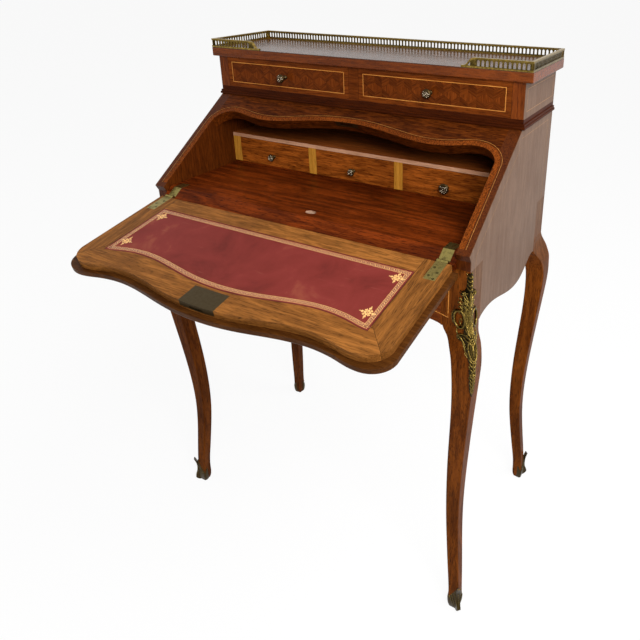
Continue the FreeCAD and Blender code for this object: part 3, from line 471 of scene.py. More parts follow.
def ribbon(bm, path, width, lift, index=0):
    """Flat strip along a path in the XY plane, made by extruding one edge from station to station."""
    uv = bm.loops.layers.uv.verify()
    run = 0.0
    edge = None
    last = []
    for i, here in enumerate(path):
        before = (here - path[max(0, i - 1)]).normalized()
        after = (path[min(len(path) - 1, i + 1)] - here).normalized()
        way = (before + after).normalized()
        mitre = math.sqrt((1 + before.dot(after)) / 2) if before.length and after.length else 1.0
        reach = width / 2 / max(0.5, mitre)
        side = Vector((-way.y, way.x, 0)) * reach
        rise = Vector((0, 0, lift))
        if edge is None:
            last = [bm.verts.new(here + side + rise), bm.verts.new(here - side + rise)]
            edge = bm.edges.new(last)
            continue
        made = bmesh.ops.extrude_edge_only(bm, edges=[edge])["geom"]
        fresh = {}
        for vert in (g for g in made if isinstance(g, bmesh.types.BMVert)):
            old = [e.other_vert(vert) for e in vert.link_edges if e.other_vert(vert) in last][0]
            fresh[old] = vert
        pair = [fresh[v] for v in last]
        pair[0].co = here + side + rise
        pair[1].co = here - side + rise
        step = (here - path[i - 1]).length
        for face in (g for g in made if isinstance(g, bmesh.types.BMFace)):
            face.material_index = index
            for loop in face.loops:
                far = loop.vert in pair
                left = loop.vert in (last[0], pair[0])
                loop[uv].uv = (run + (step if far else 0), 1.0 if left else 0.0)
        edge = bm.edges.get(pair)
        last = pair
        run += step


def thicken(bm, thickness):
    """Turns flat strips face up and gives them a thickness below."""
    for face in bm.faces:
        face.normal_update()
        if face.normal.z < 0:
            face.normal_flip()
    bmesh.ops.solidify(bm, geom=bm.faces[:], thickness=thickness)
    bmesh.ops.recalc_face_normals(bm, faces=bm.faces[:])


def lay_strips(name, strips, lift, materials, matrix, body, thickness=0.0001):
    """A piece of flat strips in a turned plane; each has its path, its width and its material's number."""
    bm = bmesh.new()
    for path, width, index in strips:
        ribbon(bm, path, width, lift, index)
    thicken(bm, thickness)
    bmesh.ops.transform(bm, matrix=matrix, verts=bm.verts)
    bmesh.ops.recalc_face_normals(bm, faces=bm.faces[:])
    new_piece(name, bm, materials, body)


def stamp(bm, x, y, angle, long, wide):
    """One tooled mark: a flat oval at a place, turned by an angle."""
    place = Matrix.Translation((x, y, 0)) @ Matrix.Rotation(angle, 4, "Z")
    bmesh.ops.create_circle(bm, cap_ends=True, segments=10, radius=0.5,
        matrix=place @ Matrix.Diagonal((long, wide, 1, 1)))


def surface_of(*starts):
    """Finds where a line meets the CAD pieces whose names start so."""
    bm = bmesh.new()
    for name in NODES:
        if name.startswith(starts):
            bm.from_mesh(NODES[name].data)
    tree = BVHTree.FromBMesh(bm)
    bm.free()
    return tree


def smooth_path(points, count):
    """Points spread along a smooth line through a few given ones."""
    spread = []
    last = len(points) - 1
    for k in range(count):
        u = k / (count - 1) * last
        i = min(int(u), last - 1)
        f = u - i
        near = [points[max(0, min(last, i + j))] for j in (-1, 0, 1, 2)]
        spread.append(tuple(0.5 * (2 * b + (c - a) * f + (2 * a - 5 * b + 4 * c - d) * f * f + (
            3 * b - a - 3 * c + d) * f ** 3) for a, b, c, d in zip(*near)))
    return spread


def bars(strokes, sides=2, steps=3):
    """A bmesh of closed round bars: each has its points and its radius at each point."""
    line = bpy.data.curves.new("bar", "CURVE")
    line.dimensions = "3D"
    line.bevel_depth = 1.0
    line.bevel_resolution = sides
    line.use_fill_caps = True
    for points, radii in strokes:
        spline = line.splines.new("NURBS")
        spline.points.add(len(points) - 1)
        for point, place, radius in zip(spline.points, points, radii):
            point.co = (*place, 1)
            point.radius = radius
        spline.order_u = 3
        spline.use_endpoint_u = True
        spline.resolution_u = steps
    holder = bpy.data.objects.new("bar", line)
    mesh = bpy.data.meshes.new_from_object(holder)
    bm = bmesh.new()
    bm.from_mesh(mesh)
    bpy.data.objects.remove(holder)
    bpy.data.curves.remove(line)
    bpy.data.meshes.remove(mesh)
    bmesh.ops.remove_doubles(bm, verts=bm.verts, dist=1e-7)
    bmesh.ops.recalc_face_normals(bm, faces=bm.faces[:])
    for face in bm.faces:
        face.smooth = True
    return bm


class Carving:
    """Draws tapered bars, in millimetres across and down, on the outside of some CAD pieces."""

    def __init__(self, names, base, across, outward):
        self.surface = surface_of(*names)
        self.base, self.across, self.outward = Vector(base), Vector(across), Vector(outward)
        self.strokes = []

    def at(self, t, d):
        return self.base + self.across * (t * MM) - Vector((0, 0, d * MM))

    def reach(self, t, d):
        """How far out the surface stands at a place."""
        hit = self.surface.ray_cast(self.at(t, d) + self.outward, -self.outward, 1.0)[0]
        return None if hit is None else (hit - self.base).dot(self.outward)

    def draw(self, points, start, middle, end, lift=0.45, count=None):
        """One bar through places (across, down) with its radius at the start, middle and end."""
        count = count or 4 * len(points)
        path = smooth_path(points, count)
        heights = [self.reach(t, d) for t, d in path]
        last = next((h for h in heights if h is not None), None)
        if last is None:
            return
        for i, h in enumerate(heights):
            last = heights[i] = last if h is None else h
        places, radii = [], []
        for k, (t, d) in enumerate(path):
            u = 2 * k / (count - 1)
            r = (start + (middle - start) * u if u < 1 else middle + (end - middle) * (u - 1)) * MM
            near = heights[max(0, k - 1):k + 2]
            places.append(self.at(t, d) + self.outward * (sum(near) / len(near) + lift * r))
            radii.append(r)
        self.strokes.append((places, radii))

    def line(self, points, radius, lift, count):
        self.draw(points, radius, radius, radius, lift, count)

    def both(self, points, *more, **settings):
        """A bar and its like on the other side of the corner."""
        self.draw(points, *more, **settings)
        self.draw([(-t, d) for t, d in points], *more, **settings)

    def curl(self, t, d, radius, start, turns, thick):
        """A volute that winds in."""
        count = int(8 * abs(turns)) + 2
        points = []
        for k in range(count):
            f = k / (count - 1)
            angle = start + turns * 2 * math.pi * f
            r = radius * (1 - 0.75 * f)
            points.append((t + r * math.cos(angle), d + r * math.sin(angle)))
        self.draw(points, thick, thick * 0.9, thick * 0.6, count=2 * count)

    def ring(self, t, d, half_width, half_height, thick):
        angles = [2 * math.pi * k / 16 for k in range(17)]
        self.line([(t + half_width * math.cos(a), d + half_height * math.sin(a)) for a in angles], thick,
            0.45, 40)

    def cast(self, name, material, body="case", slot="gilt_bronze"):
        """The bars as one piece."""
        new_piece(name, bars(self.strokes), [material], body)


# Leather lining


def leather_material(name, colour):
    """Skiver leather, rubbed and faded: mottled crimson with a fine pebble and a soft sheen."""
    material, node = new_material(name)
    here = node("TexCoord").outputs["Object"]
    cloud = node("TexNoise", {"Vector": here, "Scale": 14.0, "Detail": 5.0, "Roughness": 0.6,
        "Distortion": 0.6})
    drift = node("TexNoise", {"Vector": here, "Scale": 4.0, "Detail": 2.0})
    both = node("Math", [drift, 0.5, cloud], "MULTIPLY_ADD")
    ramp = node("ValToRGB", [both], stops=[(0.48, shade(colour, 0.62, 0.03)), (0.70, colour),
        (0.84, shade(colour, 1.18, -0.04)), (1.00, linear("#8e4a36"))])
    stretch = node("Mapping", {"Vector": here, "Rotation": (0, 0, 0.5), "Scale": (1, 7, 7)})
    scuff = node("TexNoise", {"Vector": stretch, "Scale": 26.0, "Detail": 2.0})
    scuff = node("MapRange", [scuff, 0.68, 0.80, 0.0, 0.12])
    lightened = node("Mix", [scuff, ramp, (*linear("#b0705c"), 1)], data_type="RGBA")
    pebble = node("TexVoronoi", {"Vector": here, "Scale": 1 / 0.0011})
    relief = node("Bump", {"Strength": 0.10, "Distance": 0.0002, "Height": pebble})
    waves = node("Bump", {"Strength": 0.25, "Distance": 0.0008, "Height": cloud, "Normal": relief})
    finish_material(node, {"Base Color": lightened, "Roughness": 0.55, "Specular IOR Level": 0.10,
        "Normal": waves})
    return material


def tooled_material(name, leather, gold):
    """Gold leaf tooled into leather: a running scroll with leaves between two lines, rubbed in places."""
    material, node = new_material(name)
    along, up, _ = node("SeparateXYZ", [node("UVMap")]).outputs
    phase = node("Math", [along, 2 * math.pi / 0.0078], "MULTIPLY")
    wave = node("Math", [phase], "SINE")
    stem = node("Math", [up, node("Math", [wave, 0.24, 0.5], "MULTIPLY_ADD"), 0.085], "COMPARE")
    leaf_off = node("Math", [up, node("Math", [wave, -0.24, 0.5], "MULTIPLY_ADD")], "SUBTRACT")
    radial = node("CombineXYZ", [node("Math", [phase], "COSINE"), leaf_off])
    squeezed = node("VectorMath", [radial, (0.42, 1.5, 0)], "MULTIPLY")
    distance = node("VectorMath", [squeezed], "LENGTH")
    leaf = node("Math", [distance, 0.20], "LESS_THAN")
    edge = node("Math", [node("Math", [up, 0.5], "SUBTRACT")], "ABSOLUTE")
    mark = node("Math", [stem, leaf], "MAXIMUM")
    mark = node("Math", [mark, node("Math", [edge, 0.45], "GREATER_THAN")], "MAXIMUM")
    rub = node("TexNoise", {"Vector": node("TexCoord").outputs["Object"], "Scale": 700.0, "Detail": 2.0})
    amount = node("Math", [mark, node("MapRange", [rub, 0.32, 0.44, 0.30, 1.0])], "MULTIPLY")
    colour = node("Mix", [amount, (*leather, 1), (*gold, 1)], data_type="RGBA")
    sunk = node("Bump", {"Strength": 0.4, "Distance": 0.0002, "Height": mark}, invert=True)
    finish_material(node, {"Base Color": colour, "Roughness": 0.42, "Specular IOR Level": 0.5,
        "Normal": sunk})
    return material


def gold_line_material(name, gold):
    """Gold leaf on leather, rubbed thin in spots."""
    material, node = new_material(name)
    rub = node("TexNoise", {"Vector": node("TexCoord").outputs["Object"], "Scale": 500.0, "Detail": 2.0})
    ramp = node("ValToRGB", [rub], stops=[(0.30, shade(gold, 0.55, 0.1)), (0.50, gold)])
    finish_material(node, {"Base Color": ramp, "Roughness": 0.42, "Specular IOR Level": 0.5})
    return material


LEATHER_THICKNESS = 0.0007
# The dark line of painted shade for the groove at the leather's edge: its middle's distance from the
# leather's edge, and its width
EDGE_SHADE_LINE = (0.0006, 0.0009)
TOOLING_LIFT = 0.00005
ORNAMENT_LIFT = 0.00006
# Middles of the right-hand corner ornaments in the fall's plane
ORNAMENT_PLACES = ((0.2300, -0.0585), (0.2290, -0.1360))
# Leaves in a quarter of a corner ornament: angle, then distance, length and width in halves of its size
ORNAMENT = ((0, 0.30, 0.36, 0.30), (0, 0.66, 0.32, 0.34), (0, 0.93, 0.20, 0.14), (-0.62, 0.50, 0.26, 0.17),
    (0.62, 0.50, 0.26, 0.17), (math.pi / 4, 0.25, 0.20, 0.18), (math.pi / 4, 0.46, 0.20, 0.18))


class Step:
    """A step of the dressing, as its button runs it."""

    def execute(self, context):
        self.dress(context.scene)
        return {"FINISHED"}


class DESK_OT_leather_lining(Step, bpy.types.Operator):
    """Cuts the leather lining and tools its gilt border"""

    bl_idname = "desk.leather_lining"
    bl_label = "Leather lining"

    def dress(self, scene):
        s = scene.desk_lining
        bm = merged_copy("fall_leather")
        inverse = ON_FALL.inverted()
        level = max((inverse @ v.co).z for v in bm.verts)
        face = flat_face(bm, inverse, level)
        area = face.calc_area()
        outline = closed_outline(face)
        bmesh.ops.triangulate(bm, faces=[face])
        bmesh.ops.solidify(bm, geom=bm.faces[:], thickness=LEATHER_THICKNESS)
        bmesh.ops.recalc_face_normals(bm, faces=bm.faces[:])
        bmesh.ops.transform(bm, matrix=ON_FALL, verts=bm.verts)
        leather = leather_material("crimson_skiver_leather", s.leather)
        # Painted shade: a dark line for the groove round the leather's edge
        groove = leather_material("leather_edge_painted_shade", shade(s.leather, 0.30))
        tooled = tooled_material("gold_tooled_leather", shade(s.leather, 0.9), s.gilding)
        gold = gold_line_material("gold_leaf_line", s.gilding)
        lining = new_piece("leather_lining", bm, [leather], "fall")
        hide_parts("fall_leather")
        strips = [(closed_offset(outline, EDGE_SHADE_LINE[0]), EDGE_SHADE_LINE[1], 2)]
        reach = s.edge_margin
        for width, index in ((s.line_width, 1), (s.border_width, 0), (s.line_width, 1)):
            strips.append((closed_offset(outline, reach + width / 2), width, index))
            reach += width + s.line_gap * (1.0 if index else 0.4)
        lay_strips("gilt_tooled_border", strips, level + TOOLING_LIFT, [tooled, gold, groove], ON_FALL,
            "fall", 0.00006)
        marks = bmesh.new()
        for x, y in ORNAMENT_PLACES:
            for hand in (-1, 1):
                corner_ornament(marks, hand * x, y, s.ornament_size)
        thicken(marks, 0.00008)
        raised = Matrix.Translation((0, 0, level + ORNAMENT_LIFT))
        bmesh.ops.transform(marks, matrix=ON_FALL @ raised, verts=marks.verts)
        new_piece("gilt_corner_ornaments", marks, [gold], "fall")


def corner_ornament(bm, x, y, size):
    """A lozenge of small tooled leaves round a flower."""
    half = size / 2
    for k in range(4):
        for lean, reach, long, wide in ORNAMENT:
            turn = k * math.pi / 2 + lean
            stamp(bm, x + math.cos(turn) * half * reach, y + math.sin(turn) * half * reach, turn,
                half * long, half * wide)
    stamp(bm, x, y, 0, half * 0.16, half * 0.16)


# Inlay

# Wood left between an edge and its line, in metres
BAND_GAP = 0.0002
CASE_STRING_MARGIN = 0.011
FALL_STRING_MARGIN = 0.016
OPENING_STRING_GAP = 0.0022
OPENING_FOOT = 0.010
# The keyhole's part of the fall's outline: half its width, its start and its end
KEYHOLE = (0.012, 0.010, 0.205)
# The apron's string in millimetres: half widths of the arch and the line, heights of the line (down is
# positive, so they are below zero), and the wood under the arch's line
ARCH_HALF, APRON_HALF, APRON_TOP, APRON_FOOT, EDGE_GAP = 252, 279, -672, -600.5, 17
# A string line of each side, by its ends: distance behind the slant's tip and height, both in millimetres
SIDE_STRING = (((24, -702), (194, -819.7)), ((194, -832), (338, -832)), ((338, -832), (338, -640)),
    ((24, -702), (24, -640)))


def opening_contour():
    """The opening's edge on the slant, from low on the left over the crest to low on the right."""
    bm = merged_copy("slant_rail")
    points = [v.co.copy() for v in flat_face(bm, ON_SLANT.inverted(), 0.0).verts]
    bm.free()
    top = max(p.y for p in points)
    wave = [Vector((p.x, p.y, 0)) for p in sorted(points, key=lambda p: p.x) if p.y < top - 0.004]
    side = min(abs(wave[0].x), wave[-1].x)
    steps = [OPENING_FOOT + (wave[0].y - OPENING_FOOT) * k / 6 for k in range(6)]
    return [Vector((-side, y, 0)) for y in steps] + wave + [Vector((side, y, 0)) for y in reversed(steps)]


def inner_window(name, margin, across=0, up=2):
    """A node's box along two axes, drawn in by a margin."""
    low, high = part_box(name)
    return low[across] + margin, high[across] - margin, low[up] + margin, high[up] - margin


def rectangle(x0, x1, y0, y1):
    middle = (x0 + x1) / 2
    return [Vector((*p, 0)) for p in ((middle, y0), (x1, y0), (x1, y1), (x0, y1), (x0, y0), (middle, y0))]


def upright_front(y):
    """From a flat plan (X across, Y up) to an upright front at a depth, facing the sitter."""
    return Matrix.Translation((0, y, 0)) @ Matrix.Rotation(math.radians(90), 4, "X")


def upright_side(x, hand):
    """From a flat plan (X to the back, Y up) to the side of the case at a distance."""
    turn = Matrix.Rotation(math.radians(90), 4, "X")
    face = Matrix.Rotation(math.radians(90) * hand, 4, "Z")
    flip = Matrix.Diagonal((hand, 1, 1, 1))
    return Matrix.Translation((x, 0, 0)) @ face @ turn @ flip


class DESK_OT_inlay(Step, bpy.types.Operator):
    """Lays the string lines and the cross banding round the opening"""

    bl_idname = "desk.inlay"
    bl_label = "Inlay"

    def dress(self, scene):
        s = scene.desk_inlay
        string = timber("boxwood_string", linear("#d08a3e"), ALONG_X, 0.0008, 0.02, 0.01, 0.25, 0.35)
        band = timber("cross_grain_band", shade(scene.desk_timber.drawer_veneer, 1.35, -0.06), ALONG_Y,
            0.0018, 0.005, 0.006, 0.95)
        faint = timber("faded_string", linear("#a5805f"), ALONG_X, 0.0008, 0.02, 0.01, 0.3)
        dull = timber("aged_opening_string", linear("#a06c34"), ALONG_X, 0.0008, 0.01, 0.01, 0.5)
        contour = opening_contour()
        inside = offset_path(contour, BAND_GAP + s.band_width / 2)
        outside = offset_path(contour, s.band_width + OPENING_STRING_GAP + s.string_width / 2)
        thin = s.string_width * 0.6
        lay_strips("opening_banding", [(inside, s.band_width - BAND_GAP, 0), (outside, thin, 1)], s.proud,
            [band, dull], ON_SLANT, "case")
        for hand, name in SIDES:
            front, upper = "frieze_drawer_front_" + name, "upper_side_" + name
            line = rectangle(*inner_window(front, s.frame_margin))
            lay_strips("drawer_string_" + name, [(line, s.string_width, 0)], s.proud, [string],
                upright_front(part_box(front)[0].y), "frieze_drawer_" + name)
            line = rectangle(*inner_window(upper, CASE_STRING_MARGIN, 1, 2))
            lay_strips("case_string_" + name, [(line, thin, 0)], s.proud, [faint],
                upright_side(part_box(upper)[hand > 0].x, hand), "case")
            side = Carving(("side_panel_" + name, "leg_front_" + name, "leg_back_" + name), (0, TIP, 0),
                (0, 1, 0), (hand, 0, 0))
            for ends in SIDE_STRING:
                side.line(ends, s.string_width / MM * 0.5, -0.8, 24)
            side.cast("side_string_" + name, faint, slot="satinwood")
        bm = merged_copy("fall_lip")
        outline = closed_outline(flat_face(bm, UNDER_FALL.inverted(), -FALL_UNDERSIDE))
        bm.free()
        # The keyhole cuts into the outline and its points are left out
        half, start, end = KEYHOLE
        outline = [p for p in outline if abs(p.x) > half or not start < p.y < end]
        lay_strips("fall_string", [(closed_offset(outline, FALL_STRING_MARGIN), s.string_width, 0)],
            s.proud - FALL_UNDERSIDE, [string], UNDER_FALL, "fall")
        apron = Carving(("front_rail", "leg_front"), (0, 0, 0), (1, 0, 0), (0, -1, 0))
        rail = surface_of("front_rail")
        lower = []
        for k in range(41):
            x = ARCH_HALF * (k / 20 - 1)
            z = next(z for z in range(500, 690)
                if rail.ray_cast(Vector((x * MM, -1, z * MM)), Vector((0, 1, 0)))[0])
            lower.append((x, -(z + EDGE_GAP)))
        end = APRON_HALF + 0.4
        lines = [(lower, 120), ([(-end, APRON_TOP), (end, APRON_TOP)], 60)]
        for hand in (-1, 1):
            x = hand * APRON_HALF
            lines += [([(x, APRON_FOOT - 0.5), (hand * ARCH_HALF, lower[0][1])], 16),
                ([(x, APRON_FOOT), (x, APRON_TOP)], 16)]
        for points, count in lines:
            apron.line(points, s.string_width / MM * 0.62, -0.55, count)
        apron.cast("apron_string", string, slot="satinwood")


# Fittings

SCREW_RADIUS = 0.0021
# Screws of a hinge leaf: place in the fall's plane and turn of the slot
SCREWS = ((0.2685, -0.018, 0.4), (0.2768, -0.028, 1.9), (0.2680, -0.037, 0.9), (0.2772, -0.0425, 2.6))


class DESK_OT_hinge_screws(Step, bpy.types.Operator):
    """Sets slotted screws in the hinge leaves"""

    bl_idname = "desk.hinge_screws"
    bl_label = "Hinge screws"

    def dress(self, scene):
        brass = metal("turned_brass_screw", shade(scene.desk_bronze.hinge_brass, 0.35), linear("#1a160a"),
            0.4)
        level = max((ON_FALL.inverted() @ v.co).z for v in NODES["fall_board"].data.vertices)
        bm = bmesh.new()
        for hand in (-1, 1):
            for x, y, turn in SCREWS:
                slotted_head(bm, hand * x, y, level + 0.0001, SCREW_RADIUS, turn)
        bmesh.ops.transform(bm, matrix=ON_FALL, verts=bm.verts)
        new_piece("fall_hinge_screws", bm, [brass], "fall")


def corner_carving(mount, leg, side, back):
    """A carving on a leg's outer corner, from the top of its mount down, and half the mount's width."""
    across = Vector((-side, back, 0)).normalized()
    outward = Vector((side, back, 0)).normalized()
    spread = [v.co.dot(across) for v in NODES[mount].data.vertices]
    base = across * ((min(spread) + max(spread)) / 2)
    base.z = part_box(mount)[1].z
    return Carving((leg, mount), base, across, outward), (max(spread) - min(spread)) / 2 / MM


class DESK_OT_mount_relief(Step, bpy.types.Operator):
    """Casts the relief of the knee mounts: husks, flowers, leaves, open scrolls, cartouche and tail"""

    bl_idname = "desk.mount_relief"
    bl_label = "Mount relief"

    def dress(self, scene):
        b = scene.desk_bronze
        gilt = metal("chased_gilt_bronze", shade(b.gilt_bronze, 0.70, 0.05), linear("#120d05"), 0.26,
            grit=0.0010, bright=2.4, highlight_and_wear=0.34)
        for hand, name in SIDES:
            knee, _ = corner_carving("knee_mount_" + name, "leg_front_" + name, hand, -1)
            knee_ornament(knee, b.petals)
            knee.cast("mount_relief_" + name, gilt)


def knee_ornament(knee, petals):
    """The mount from its top down, in millimetres across and down."""
    for d in (3.0, 9.6, 16.2, 22.8):
        knee.draw([(0, d - 2.5), (0, d + 2.8)], 0.6, 2.1, 0.6)
        knee.both([(0.6, d + 2.4), (3.2, d + 0.6), (4.2, d - 2.6)], 0.9, 1.0, 0.25)
    knee.draw([(0, 28), (0, 36), (0, 47)], 0.8, 1.9, 1.0)
    for side in (-1, 1):
        for k in range(petals):
            angle = 2 * math.pi * k / petals + 0.3
            knee.draw([(side * 7.6 + r * math.cos(angle), 33.0 + r * math.sin(angle)) for r in (0.8, 3.0,
                4.4)], 0.6, 1.2, 0.4)
        knee.draw([(side * 7.6 - 0.4, 33), (side * 7.6 + 0.4, 33)], 1.2, 1.3, 1.2, lift=0.9)
    for x in (0.0, 2.9, 5.8):
        knee.both([(x, 45), (x * 1.25 + 0.4, 55), (x * 1.05, 68), (x * 0.72, 82), (x * 0.45, 97)], 0.7,
            1.7 if x else 1.9, 0.8)
    for x in (1.5, 4.4, 7.2):
        knee.both([(x, 50), (x * 1.2, 60), (x * 0.95, 74), (x * 0.55, 90)], 0.3, 0.9, 0.3, lift=0.7)
    for d, reach in ((44, 10.5), (51, 12.0), (58, 11.0)):
        knee.both([(5.0, d + 6), (8.5, d + 2), (reach, d - 1.5), (reach + 0.6, d + 1.5)], 1.3, 1.2, 0.3)
    # Open scrolls with their leaves
    for side in (-1, 1):
        knee.ring(side * 11.8, 76.0, 6.0, 13.2, 1.45)
        knee.curl(side * 9.0, 66.5, 3.2, -1.6, side * 1.2, 0.8)
    for angle in (-0.9, -0.45, 0.0, 0.45, 0.9):
        c, n = math.cos(angle), math.sin(angle)
        knee.both([(11.8 + 5.6 * c, 76 + 12.6 * n), (11.8 + 7.4 * c, 75.2 + 14.6 * n),
            (11.8 + 7.8 * c, 77.6 + 14.4 * n)], 1.1, 0.9, 0.25)
    knee.both([(17.2, 66), (19.1, 72), (19.2, 80), (17.8, 87)], 0.3, 0.8, 0.3)
    knee.both([(8.0, 88), (10.5, 82), (9.2, 76), (7.6, 79)], 1.0, 0.9, 0.4)
    knee.both([(5.0, 96), (10.5, 98.5), (15.2, 102.5), (14.6, 106.0)], 1.4, 1.3, 0.3)
    knee.both([(14.0, 92), (14.8, 98), (11.5, 104), (8.6, 111)], 0.8, 1.4, 0.5)
    knee.both([(11.0, 106), (9.4, 113), (8.2, 121), (6.0, 128)], 0.5, 1.3, 0.4)
    for d in (112, 119, 126):
        knee.both([(6.4, d + 3), (8.6, d), (9.4, d - 3)], 1.0, 0.8, 0.25)
    for d, reach in ((38, 5.5), (41, 7.5), (46, 7.0), (54, 7.6), (62, 7.8)):
        knee.both([(1.0, d + 7), (3.4, d + 3), (reach * 0.8, d), (reach, d - 3.5)], 1.0, 1.3, 0.3, lift=0.6)
    for d, reach in ((90, 6.5), (96, 8.0), (101, 10.0)):
        knee.both([(0.8, d + 8), (3.2, d + 4), (reach * 0.8, d + 1), (reach, d - 2.5)], 1.0, 1.3, 0.3,
            lift=0.6)
    # Cartouche and tail
    knee.ring(0, 114.7, 6.2, 15.4, 1.35)
    knee.ring(0, 114.7, 3.6, 11.6, 0.55)
    knee.draw([(0, 104), (0, 114.7), (0, 125)], 0.5, 2.2, 0.5, lift=0.0)
    for d, reach in ((132, 5.6), (139, 4.8), (146, 4.6), (158, 4.4), (165, 4.2), (172, 3.8), (179, 3.0),
                     (186, 2.2)):
        knee.both([(0.4, d + 3), (reach * 0.7, d), (reach, d - 3.5), (reach * 0.8, d - 5.0)], 1.1, 1.0, 0.3)
    knee.curl(0.0, 151.5, 4.4, 0.4, 1.5, 1.1)
    knee.draw([(0, 129), (0.6, 138), (-0.4, 147)], 0.8, 1.5, 0.8, lift=0.4)
    knee.draw([(0, 156), (0, 174), (0, 192)], 1.0, 1.7, 0.4, lift=0.3)


class DESK_OT_shoe_relief(Step, bpy.types.Operator):
    """Chases the shoes with flutes that fan up to a leafy edge"""

    bl_idname = "desk.shoe_relief"
    bl_label = "Shoe relief"

    def dress(self, scene):
        dark = metal("chased_dark_bronze", linear("#5f4f27"), linear("#120e06"), 0.34, 0.0003, 0.0010,
            bright=2.4, highlight_and_wear=0.28)
        for name in LEGS:
            shoe = "shoe_" + name
            foot, half = corner_carving(shoe, "leg_" + name, 1 if "right" in name else -1,
                1 if "back" in name else -1)
            low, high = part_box(shoe)
            height = (high.z - low.z) / MM
            for k in range(-3, 4):
                u = k / 3
                top = height * (0.30 + 0.24 * abs(u))
                foot.draw([(half * 0.86 * u, top), (half * 0.74 * u, height * 0.62),
                    (half * 0.42 * u, height * 0.90)], 0.3, 0.8, 0.3)
                foot.draw([(half * 0.86 * u, top + 4), (half * (0.86 * u + 0.09), top - 1.5)], 0.7, 0.6, 0.2)
            foot.cast("shoe_relief_" + name, dark)


class DESK_OT_knob_rosettes(Step, bpy.types.Operator):
    """Casts a small rosette on the face of each knob"""

    bl_idname = "desk.knob_rosettes"
    bl_label = "Knob rosettes"

    def dress(self, scene):
        # The rosettes' raised points carry a painted highlight as well as rubbing
        bright = metal("bronze_rosette_rubbed_and_highlit", linear("#8f8371"), linear("#41372a"), 0.24, 0.0001, 0.0006,
            bright=1.4)
        for place in KNOBS:
            low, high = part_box(place)
            centre = ((low.x + high.x) / 2, low.y, (low.z + high.z) / 2)
            radius = (high.x - low.x) / 2 / MM
            face = Carving((place,), centre, (1, 0, 0), (0, -1, 0))
            for k in range(10):
                c, n = math.cos(k * math.pi / 5), math.sin(k * math.pi / 5)
                face.draw([(radius * r * c, radius * r * n) for r in (0.58, 0.68, 0.80)], radius * 0.07,
                    radius * 0.15, radius * 0.08)
            face.ring(0, 0, radius * 0.40, radius * 0.40, radius * 0.07)
            face.draw([(-radius * 0.12, 0), (0, 0), (radius * 0.12, 0)], radius * 0.10, radius * 0.18,
                radius * 0.10)
            face.cast(place.replace("knob", "rosette"), bright, place.replace("_knob", ""))


def slotted_head(bm, x, y, z, radius, turn):
    """A flat screw head with its slot."""
    place = Matrix.Translation((x, y, z)) @ Matrix.Rotation(turn, 4, "Z")
    disc = bmesh.ops.create_circle(bm, cap_ends=True, segments=20, radius=radius)["verts"]
    geom = list({f for v in disc for f in v.link_faces} | {e for v in disc for e in v.link_edges} | set(disc))
    slot = radius * 0.16
    for offset in (-slot, slot):
        cut = bmesh.ops.bisect_plane(bm, geom=geom, plane_co=(0, offset, 0), plane_no=(0, 1, 0))
        geom = cut["geom"]
    faces = [g for g in geom if isinstance(g, bmesh.types.BMFace)]
    middle = min(faces, key=lambda f: abs(f.calc_center_median().y))
    made = bmesh.ops.extrude_discrete_faces(bm, faces=[middle])["faces"]
    bmesh.ops.translate(bm, verts=list({v for f in made for v in f.verts}), vec=(0, 0, -radius * 0.2))
    every = {v for f in faces if f.is_valid for v in f.verts} | {v for f in made for v in f.verts}
    bmesh.ops.transform(bm, matrix=place, verts=list(every))


# Timber

# Width of the cross band round the top, and tiles of the top and of the drawer fronts
TOP_BAND, TOP_TILE, DRAWER_TILE = 0.024, 0.034, 0.029
# Clamps of the fall: half the length of the long grain between them, where the mitre starts and its slope
CLAMP_SEAM, MITRE_START, MITRE_SLOPE = 0.2475, 0.155, 0.9


class DESK_OT_case_timber(Step, bpy.types.Operator):
    """Veneers the case, its legs and the upper part"""

    bl_idname = "desk.case_timber"
    bl_label = "Case timber"

    def dress(self, scene):
        t = scene.desk_timber
        walnut = t.drawer_veneer
        # The sides' pale grey veneer is a painted sheen.
        paint(side_material("walnut_veneer_painted_sheen", t.side_veneer, shade(walnut, 0.55)), "side_panel")
        paint(side_material("walnut_veneer_painted_sheen_above", t.side_veneer, shade(walnut, 1.2)), "upper_side")
        for k, name in enumerate(LEGS):
            leg = "leg_" + name
            paint(leg_material("stained_beech_" + leg, t.leg_wood, t.side_veneer, 0.31 * k), leg)
        paint(timber("walnut_apron_veneer", walnut, ALONG_X, 0.002, 0.07, 0.02, 0.55), "front_rail",
            "upper_divider")
        paint(timber("burr_walnut_slant", shade(walnut, 0.62), (-SLANT_ANGLE, 0, 0), 0.004, 0.014, 0.012,
            0.95), "slant_rail")
        paint(timber("walnut_moulding", shade(walnut, 0.32, 0.20), ALONG_X, 0.0018, 0.08, 0.02, 0.5),
            "waist_board")
        window = inner_window("top_board", TOP_BAND, 0, 1)
        paint(parquetry("parquetry_top", t.top_veneer, TOP_TILE, False, window, 0.24, 0.07, 0.06, 0.12,
            shade(walnut, 1.15)), "top_board")
        paint(timber("mahogany_floor_veneer", t.floor_veneer, ALONG_X, *FLOOR_GRAIN), "floor_", "nest_bottom")
        paint(timber("plain_oak", t.hidden_wood, ALONG_X, *OAK_GRAIN, 0.6, 0.0, 0.3, 0.1), "upper_back",
            "well_bottom")
        # The back's face towards the nest is near-black painted shade.
        paint(back_material("oak_back_painted_shade_inside", t.hidden_wood, linear("#1b0f07")), "back_panel")
        paint(timber("satinwood_upright", t.satinwood, ALONG_Z, 0.0016, 0.04, 0.015, 0.35), "nest_stile",
            "nest_divider")
        paint(shelf_material("faced_shelf", linear("#c39374"), linear("#8c4a1e")), "nest_shelf")
        paint(lid_material("well_lid_veneer", t.floor_veneer, linear("#a58772")), "well_lid")


